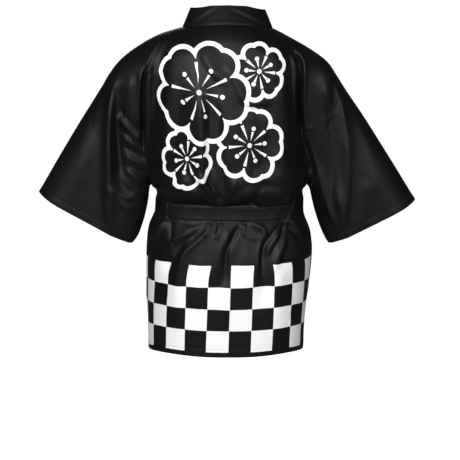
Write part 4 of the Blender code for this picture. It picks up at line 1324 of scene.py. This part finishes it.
class HAPPI_OT_sleeves(bpy.types.Operator):
    """The two sleeves"""
    bl_idname = "happi.sleeves"
    bl_label = "Sleeves"

    def execute(self, context):
        for side, name in ((1, "sleeve_left"), (-1, "sleeve_right")):
            grid = sleeve_surface(side)
            sewn = sew(grid, ("first",), ("last", CUFF_FOLD), wrap=True)
            piece = make_piece(name + "_cloth", sewn, cloth_pair("plain_cloth"),
                               {"cloth": cloth_map(grid, True)}, wrap_rows=True)
            give_thickness(piece)
            dress(piece, name)
        return {"FINISHED"}


def band_profile():
    """Distance from the seam and half thickness across the collar band, with a round free edge."""
    flat = np.linspace(0.0, BAND_WIDTH - BAND / 2.0, 15)
    turn = np.linspace(0.0, math.pi / 2.0, 5)[1:]
    width = np.concatenate((flat, BAND_WIDTH - BAND / 2.0 * (1.0 - np.sin(turn))))
    half = np.concatenate((np.full(flat.shape, BAND / 2.0), BAND / 2.0 * np.cos(turn)))
    return width, half


@functools.cache
def band_surface():
    """Middle of the collar band, rows from its seam to the free edge, columns from the left hem round the
    neck to the right hem.

    On the chest it lies on the front, square to its seam. Towards the neck it turns up until it stands,
    leaning in, as far as the share stand says. At the sides of the neck it curls a little, which makes it
    lower by the share that upright lacks of 1.
    """
    width, _ = band_profile()
    halves = []
    for side in (1, -1):
        stations = front_surface(side)[::-1, -1]
        unfolded = front_panel(side)[::-1, -1]
        neck = back_surface()[0]
        centre = len(neck) // 2
        to_neck = neck[centre + side * (NECK_COLUMNS - 1):centre:-side] if side > 0 else \
            neck[centre - NECK_COLUMNS + 1:centre]
        to_neck = np.concatenate((to_neck, neck[centre:centre + 1]))
        rows = np.concatenate((np.zeros(LOWER_COUNT), 1.0 - upper_shares()[::-1]))
        stand = smooth((rows - 0.52) / 0.48)
        turn = math.pi / 2.0 + math.radians(50.0) * (1.0 - stand)
        base = np.concatenate((stations, to_neck))
        turn = np.concatenate((turn, np.linspace(math.pi / 2.0, 0.0, len(to_neck) + 1)[1:]))
        stand = np.concatenate((stand, np.ones(len(to_neck))))
        lean = np.radians(22.0 + 8.0 * np.cos(turn) ** 2)
        up = np.stack((-side * np.sin(turn) * np.sin(lean), -np.cos(turn) * np.sin(lean), np.cos(lean)), -1)
        curl = COLLAR_CURL_LEFT if side > 0 else COLLAR_CURL_RIGHT
        upright = 1.0 - curl * np.sin(turn) ** 4 * stand
        lines = [base]
        for reach in width[1:]:
            tilt = math.radians(15.0) * smooth((unfolded[..., 2] - BELT_MIDDLE) / 90.0)
            x = unfolded[..., 0] - side * reach * np.cos(tilt)
            z = unfolded[..., 2] + reach * np.sin(tilt)
            lying = lay_folds(np.stack((x, -depth(x, z, "front"), z), -1))
            if side > 0:
                lying[..., 1] -= over_right(lying[..., 0], lying[..., 2])
            way = np.concatenate((lying - stations, np.zeros((len(to_neck), 3))))
            way = way * (1.0 - stand[:, None]) + reach * up * stand[:, None]
            free = way * reach * upright[:, None] / np.linalg.norm(way, axis=-1, keepdims=True)
            free[stand == 0.0] = way[stand == 0.0]
            lines.append(base + free)
        halves.append(np.stack(lines))
    return np.concatenate((halves[0], halves[1][:, -2::-1]), axis=1)


class HAPPI_OT_collar(bpy.types.Operator):
    """Collar band from hem to hem round the neck"""
    bl_idname = "happi.collar"
    bl_label = "Collar band"

    def execute(self, context):
        width, half = band_profile()
        grid = band_surface()
        normal, _ = outward_normals(grid)
        along = arc_lengths(grid, 1)[0]
        middle = len(along) // 2
        around = (along[middle] - along)[None] + 0.0 * width[:, None]
        standing = smooth((160.0 - np.abs(around)) / 60.0)
        lift = creases(COLLAR_CREASES, around, width[:, None] + 0.0 * around) * standing
        slack = 0.35 * np.sin(around / 31.0 + 0.6 * np.sin(around / 17.0)) * smooth(width / 20.0)[:, None]
        proud = np.interp(width, (0.0, BAND_WIDTH), (BAND - CLOTH, 0.1))[:, None]
        face = (proud - BAND / 2.0 + lift + slack)[..., None]
        outer = grid + (face + half[:, None, None]) * normal
        inner = grid + (face - half[:, None, None]) * normal
        tube = np.concatenate((outer, inner[-2::-1]))
        piece = make_piece("collar_band_cloth", tube, (cloth_material("band_cloth"),),
                           {"cloth": cloth_map(tube, True)}, wrap_rows=True, caps=True)
        dress(piece, "collar_band")
        return {"FINISHED"}


def belt_clear(ring):
    """How far the belt's inner face lies off the smooth body: over the overlap in front it lies on both
    fronts and on the band."""
    in_front = (ring[..., 1] < 0.0) * (1.0 - smooth((np.abs(ring[..., 0]) - 75.0) / 65.0))
    return BELT_CLEAR + (LEFT_OVER + BAND - CLOTH) * in_front


class HAPPI_OT_belt(bpy.types.Operator):
    """Belt round the waist"""
    bl_idname = "happi.belt"
    bl_label = "Belt"

    def execute(self, context):
        tube, _ = belt_tube()
        piece = make_piece("belt_band_cloth", tube, (cloth_material("belt_cloth", dull=BELT_DULL),),
                           {"cloth": cloth_map(tube, True, True)}, wrap_rows=True, wrap_columns=True)
        dress(piece, "belt_band")
        return {"FINISHED"}


@functools.cache
def belt_tube():
    """The belt: a flat strip with round edges, wrapped on the waist. Rows go round its section, down the
    outer face and up the inner one; columns go round the body. It wanders a little up and down, and a few
    shallow creases cross it. Gives the points and the normals of the ring."""
    turn = np.linspace(0.0, math.pi / 2.0, 4)
    half_height = (BELT_TOP - BELT_BOTTOM) / 2.0
    rise = np.concatenate((half_height - BELT / 2.0 * (1.0 - np.cos(turn[::-1])),
                           np.linspace(half_height - BELT, BELT - half_height, 11),
                           -half_height + BELT / 2.0 * (1.0 - np.cos(turn))))
    bulge = np.concatenate((np.sin(turn), np.ones(11), np.sin(turn[::-1])))
    share = np.arange(BELT_COLUMNS) / BELT_COLUMNS
    rings, bases = [], []
    for height in rise:
        total = section(BELT_MIDDLE + height)[2][-1]
        rings.append(at_arc(BELT_MIDDLE + height, total * share))
    ring = np.stack(rings)
    along = np.roll(ring, -1, axis=1) - np.roll(ring, 1, axis=1)
    normal = np.stack((along[..., 1], -along[..., 0], np.zeros(along.shape[:2])), -1)
    normal /= np.linalg.norm(normal, axis=-1, keepdims=True)
    normal *= np.sign(np.sum(normal[0, 0] * (0.0, 1.0, 0.0)))
    around = 2.0 * math.pi * share[None]
    wander = 0.8 * np.sin(2.0 * around + 0.4) + 0.5 * np.sin(5.0 * around + 1.0)
    ripple = 0.35 * np.sin(23.0 * around + 0.12 * rise[:, None]) * np.sin(3.0 * around + 0.5) ** 2
    ripple = ripple + 0.25 * np.sin(9.0 * around - 0.09 * rise[:, None])
    sunk = BELT_SINK * beside_belt(*np.moveaxis(ring, -1, 0))
    middle = belt_clear(ring) + BELT / 2.0 + 0.35 + ripple - sunk
    outer = ring + (middle + BELT / 2.0 * bulge[:, None])[..., None] * normal
    inner = ring + (middle - BELT / 2.0 * bulge[:, None])[..., None] * normal
    tube = np.concatenate((outer, inner[-2:0:-1]))
    tube[..., 2] += wander
    return tube, normal


def belt_piece(name, tube):
    """A piece of the belt with closed ends."""
    return make_piece(name, tube, (cloth_material("belt_cloth", dull=BELT_DULL),),
                      {"cloth": cloth_map(tube, True)}, wrap_rows=True, caps=True)


class HAPPI_OT_knot(bpy.types.Operator):
    """Knot of the belt"""
    bl_idname = "happi.knot"
    bl_label = "Knot"

    def execute(self, context):
        low, high = (np.array(corner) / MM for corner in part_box("belt_knot"))
        middle, half = (low + high) / 2.0, (high - low) / 2.0
        parts = [knot_wrap(middle, half)] + [knot_strand(middle, half, side) for side in (1, -1)]
        for name, tube in zip(("belt_knot_wrap", "belt_knot_left", "belt_knot_right"), parts):
            piece = belt_piece(name, tube)
            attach(piece, "root")
        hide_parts("belt_knot")
        return {"FINISHED"}


def knot_wrap(middle, half):
    """The turn of belt round the middle of the knot: a slanting barrel, drawn in at its two edges, with
    pleats that run round it. Rows go round it and columns across."""
    turn = np.linspace(0.0, 2.0 * math.pi, 73)[:-1, None]
    across = np.concatenate(([-0.72, -0.9, -0.98], np.linspace(-1.0, 1.0, 33), [0.98, 0.9, 0.72]))[None]
    ends = np.array([0.35, 0.62, 0.82] + [1.0] * 33 + [0.82, 0.62, 0.35])[None]
    full = (1.0 - 0.22 * np.abs(across) ** 2.5) * ends
    pleats = 1.0 - 0.07 * (0.5 + 0.5 * np.cos(7.0 * across + 0.5 * np.sin(2.0 * turn))) * (ends > 0.9)
    x = across * half[0] * 0.62 + 0.0 * turn
    y = -half[1] * powered(np.cos(turn), 0.8) * full * pleats
    z = half[2] * 0.95 * powered(np.sin(turn), 0.8) * full * pleats
    tilt = math.radians(17.0)
    turned_x = x * math.cos(tilt) + z * math.sin(tilt)
    turned_z = z * math.cos(tilt) - x * math.sin(tilt)
    return np.stack((turned_x, y, turned_z), -1) + middle


def knot_strand(middle, half, side):
    """The belt where it runs into the knot from one side: a strip that narrows and gathers into pleats.
    Rows go round its section and columns towards the knot."""
    turn = np.linspace(0.0, 2.0 * math.pi, 41)[:-1, None]
    t = np.linspace(0.0, 1.0, 25)[None]
    narrow = smooth(t)
    high = 14.2 - 5.0 * narrow
    thick = 1.3 + 2.6 * narrow
    x = middle[0] + side * (half[0] * 2.1 * (1.0 - t) + 4.0 * t)
    pleats = 1.0 + 0.3 * narrow * np.cos(5.0 * turn)
    start_y = middle[1] + half[1] - 1.6
    y = start_y - 4.2 * narrow - thick * np.cos(turn) * pleats
    z = middle[2] + high * powered(np.sin(turn), 0.8) - side * 2.0 * narrow
    return np.stack((x + 0.0 * turn, y, z), -1)


# The two ends of the belt: side, x at the knot and at the end, height of the end, what the cloth behind it
# lies on, slant of the cut end and phase of its curl
TAILS = (
    ("belt_tail_left", 1, 19.0, 34.0, -590.0, LEFT_OVER, 5.0, 0.3),
    ("belt_tail_right", -1, -19.0, -30.0, -572.0, LEFT_OVER + BAND - CLOTH, -4.0, 2.1),
)
TAIL_ROOT = -397.0           # inside the knot
TAIL_TOP = -408.0


class HAPPI_OT_tails(bpy.types.Operator):
    """The two ends of the belt, below the knot"""
    bl_idname = "happi.tails"
    bl_label = "Belt ends"

    def execute(self, context):
        for name, side, start, end, bottom, behind, slant, phase in TAILS:
            tube = tail_tube(side, start, end, bottom, behind, slant, phase)
            piece = belt_piece(name + "_cloth", tube)
            dress(piece, name)
        return {"FINISHED"}


@functools.cache
def tail_tube(side, start, end, bottom, behind, slant, phase):
    """An end of the belt: a flat strip with round edges that leaves the knot gathered, opens to its full
    width and hangs over the skirt with a slight curl. Rows go round its section, columns down it."""
    t = np.linspace(0.0, 1.0, 90)[None]
    opened = smooth(t / 0.16)
    turn = np.linspace(0.0, 2.0 * math.pi, 49)[:-1, None]
    across = powered(np.cos(turn), 0.35)
    flat = powered(np.sin(turn), 0.6)
    half = TAIL_WIDTH / 2.0 * (0.42 + 0.58 * opened)
    z = TAIL_ROOT + (bottom - TAIL_ROOT) * t + slant * across * t ** 6
    x = start * 0.45 + (start * 0.55) * smooth(t / 0.1) + (end - start) * smooth(t) + across * half
    z = z + 0.0 * x
    on_cloth = -depth(x, np.minimum(z, TAIL_TOP), "front")
    curl = 1.4 * np.sin(2.0 * math.pi * (1.3 * t) + phase) * across * opened + 1.6 * across ** 2 * opened * t
    pleats = 1.6 * (1.0 - opened) * np.cos(3.0 * math.pi * across)
    gap = behind + 1.6 + BELT / 2.0 + 1.5 * np.abs(np.sin(2.2 * math.pi * t + phase)) * opened + curl
    knot_y = (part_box("belt_knot")[0].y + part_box("belt_knot")[1].y) / 2.0 / MM
    y = on_cloth - gap
    y = y * smooth(t / 0.12) + (knot_y - 1.0) * (1.0 - smooth(t / 0.12))
    y = y - flat * (BELT / 2.0 + 0.8 * (1.0 - opened)) - pleats
    return np.stack((x, y, z), -1)


class HAPPI_OT_sewing(bpy.types.Operator):
    """Stitches along the hem, the cuffs, the collar band and the belt"""
    bl_idname = "happi.sewing"
    bl_label = "Sewing"

    def execute(self, context):
        hem = [line_at(sew(grid, ()), HEM_FOLD, "bottom") for grid in
               (back_surface(), front_surface(1), front_surface(-1))]
        make_stitches("hem_stitches", hem, thread_material())
        cuffs = []
        for side in (1, -1):
            grid = sleeve_surface(side)
            cuffs.append(line_at(closed(grid, True), CUFF_FOLD, "last"))
        make_stitches("cuff_stitches", cuffs, thread_material())
        tube, normal = belt_tube()
        lines = [(np.concatenate((tube[row], tube[row, :1])), np.concatenate((normal[0], normal[0, :1])))
                 for row in BELT_STITCH_ROWS]
        make_stitches("belt_stitches", lines, thread_material())
        return {"FINISHED"}


# Studio

CAMERA_PLACE = (-0.0023, 1.886, 0.0)
CAMERA_PITCH = 13.5
CAMERA_LENS = 65.2           # on a sensor 36 wide, for a square picture
FLOOR_Z = -1.45              # well below the hem
FLOOR_RADIUS = 80.0
# Softboxes: name, place, what it faces, width, height and power
SOFTBOXES = (
    ("softbox_left", (1.1, 2.5, 1.05), (0.0, 0.0, -0.35), 1.0, 1.2, 92.0),
    ("softbox_right", (-1.4, 2.5, 0.75), (0.0, 0.0, -0.35), 0.8, 1.2, 44.0),
    ("softbox_front", (0.2, -2.6, 0.5), (0.0, 0.0, -0.35), 1.2, 1.2, 18.0),
)


class HAPPI_OT_stage(bpy.types.Operator):
    """Pale floor, soft light and the camera"""
    bl_idname = "happi.stage"
    bl_label = "Studio"

    def execute(self, context):
        scene = context.scene
        camera = bpy.data.objects.new("camera", bpy.data.cameras.new("camera"))
        camera.location = CAMERA_PLACE
        camera.rotation_euler = (math.radians(90.0 - CAMERA_PITCH), 0.0, math.radians(180.0))
        camera.data.lens = CAMERA_LENS
        camera.data.sensor_width = 36.0
        scene.collection.objects.link(camera)
        scene.camera = camera
        for name, place, target, width, height, power in SOFTBOXES:
            data = bpy.data.lights.new(name, "AREA")
            data.shape = "RECTANGLE"
            data.size, data.size_y, data.energy = width, height, power
            light = bpy.data.objects.new(name, data)
            light.location = place
            light.rotation_euler = (Vector(target) - Vector(place)).to_track_quat("-Z", "Y").to_euler()
            scene.collection.objects.link(light)
        world = bpy.data.worlds.new("studio")
        world.use_nodes = True
        build = Nodes(world.node_tree)
        background = world.node_tree.nodes["Background"]
        background.inputs["Color"].default_value = (1.0, 1.0, 1.0, 1.0)
        seen = build.add("ShaderNodeLightPath").outputs["Is Camera Ray"]
        world.node_tree.links.new(build.math("ADD", 0.02, build.math("MULTIPLY", seen, 1.0)),
                                  background.inputs["Strength"])
        scene.world = world
        turn = np.linspace(0.0, 2.0 * math.pi, 97)[:-1]
        rim = np.stack((FLOOR_RADIUS * np.cos(turn), FLOOR_RADIUS * np.sin(turn),
                        np.full(turn.shape, FLOOR_Z)), -1)
        mesh = bpy.data.meshes.new("floor")
        mesh.from_pydata(rim.tolist(), [], [list(range(len(rim)))])
        mesh.materials.append(floor_material(context.scene.happi_colours.floor))
        floor = bpy.data.objects.new("floor", mesh)
        scene.collection.objects.link(floor)
        scene.view_settings.view_transform = "Standard"
        return {"FINISHED"}


def floor_material(colour):
    """A pale floor that glows a little to the camera alone, as an overlit studio floor does in a photo."""
    material = bpy.data.materials.new("floor")
    material.use_nodes = True
    build = Nodes(material.node_tree)
    shader = material.node_tree.nodes["Principled BSDF"]
    shader.inputs["Base Color"].default_value = (*colour, 1.0)
    shader.inputs["Roughness"].default_value = 0.7
    shader.inputs["Emission Color"].default_value = (1.0, 1.0, 1.0, 1.0)
    seen = build.add("ShaderNodeLightPath").outputs["Is Camera Ray"]
    material.node_tree.links.new(build.math("MULTIPLY", seen, 1.0), shader.inputs["Emission Strength"])
    return material


STEPS = (HAPPI_OT_stage, HAPPI_OT_back, HAPPI_OT_fronts, HAPPI_OT_sleeves, HAPPI_OT_collar, HAPPI_OT_belt,
         HAPPI_OT_knot, HAPPI_OT_tails, HAPPI_OT_sewing)


class HAPPI_PT_panel(bpy.types.Panel):
    """Sizes, colours and steps of the happi coat"""
    bl_idname = "HAPPI_PT_panel"
    bl_label = "Happi coat"
    bl_space_type = "VIEW_3D"
    bl_region_type = "UI"
    bl_category = "Happi coat"

    def draw(self, context):
        for group in (context.scene.happi_sizes, context.scene.happi_colours):
            for name in group.__annotations__:
                self.layout.prop(group, name)
        for step in STEPS:
            self.layout.operator(step.bl_idname)


CLASSES = (HappiSizes, HappiColours, *STEPS, HAPPI_PT_panel)


def register():
    for kind in CLASSES:
        bpy.utils.register_class(kind)
    bpy.types.Scene.happi_sizes = PointerProperty(type=HappiSizes)
    bpy.types.Scene.happi_colours = PointerProperty(type=HappiColours)


def unregister():
    del bpy.types.Scene.happi_colours
    del bpy.types.Scene.happi_sizes
    for kind in reversed(CLASSES):
        bpy.utils.unregister_class(kind)


def main():
    register()
    for step in STEPS:
        group, name = step.bl_idname.split(".")
        getattr(getattr(bpy.ops, group), name)()


if __name__ == "__main__":
    main()
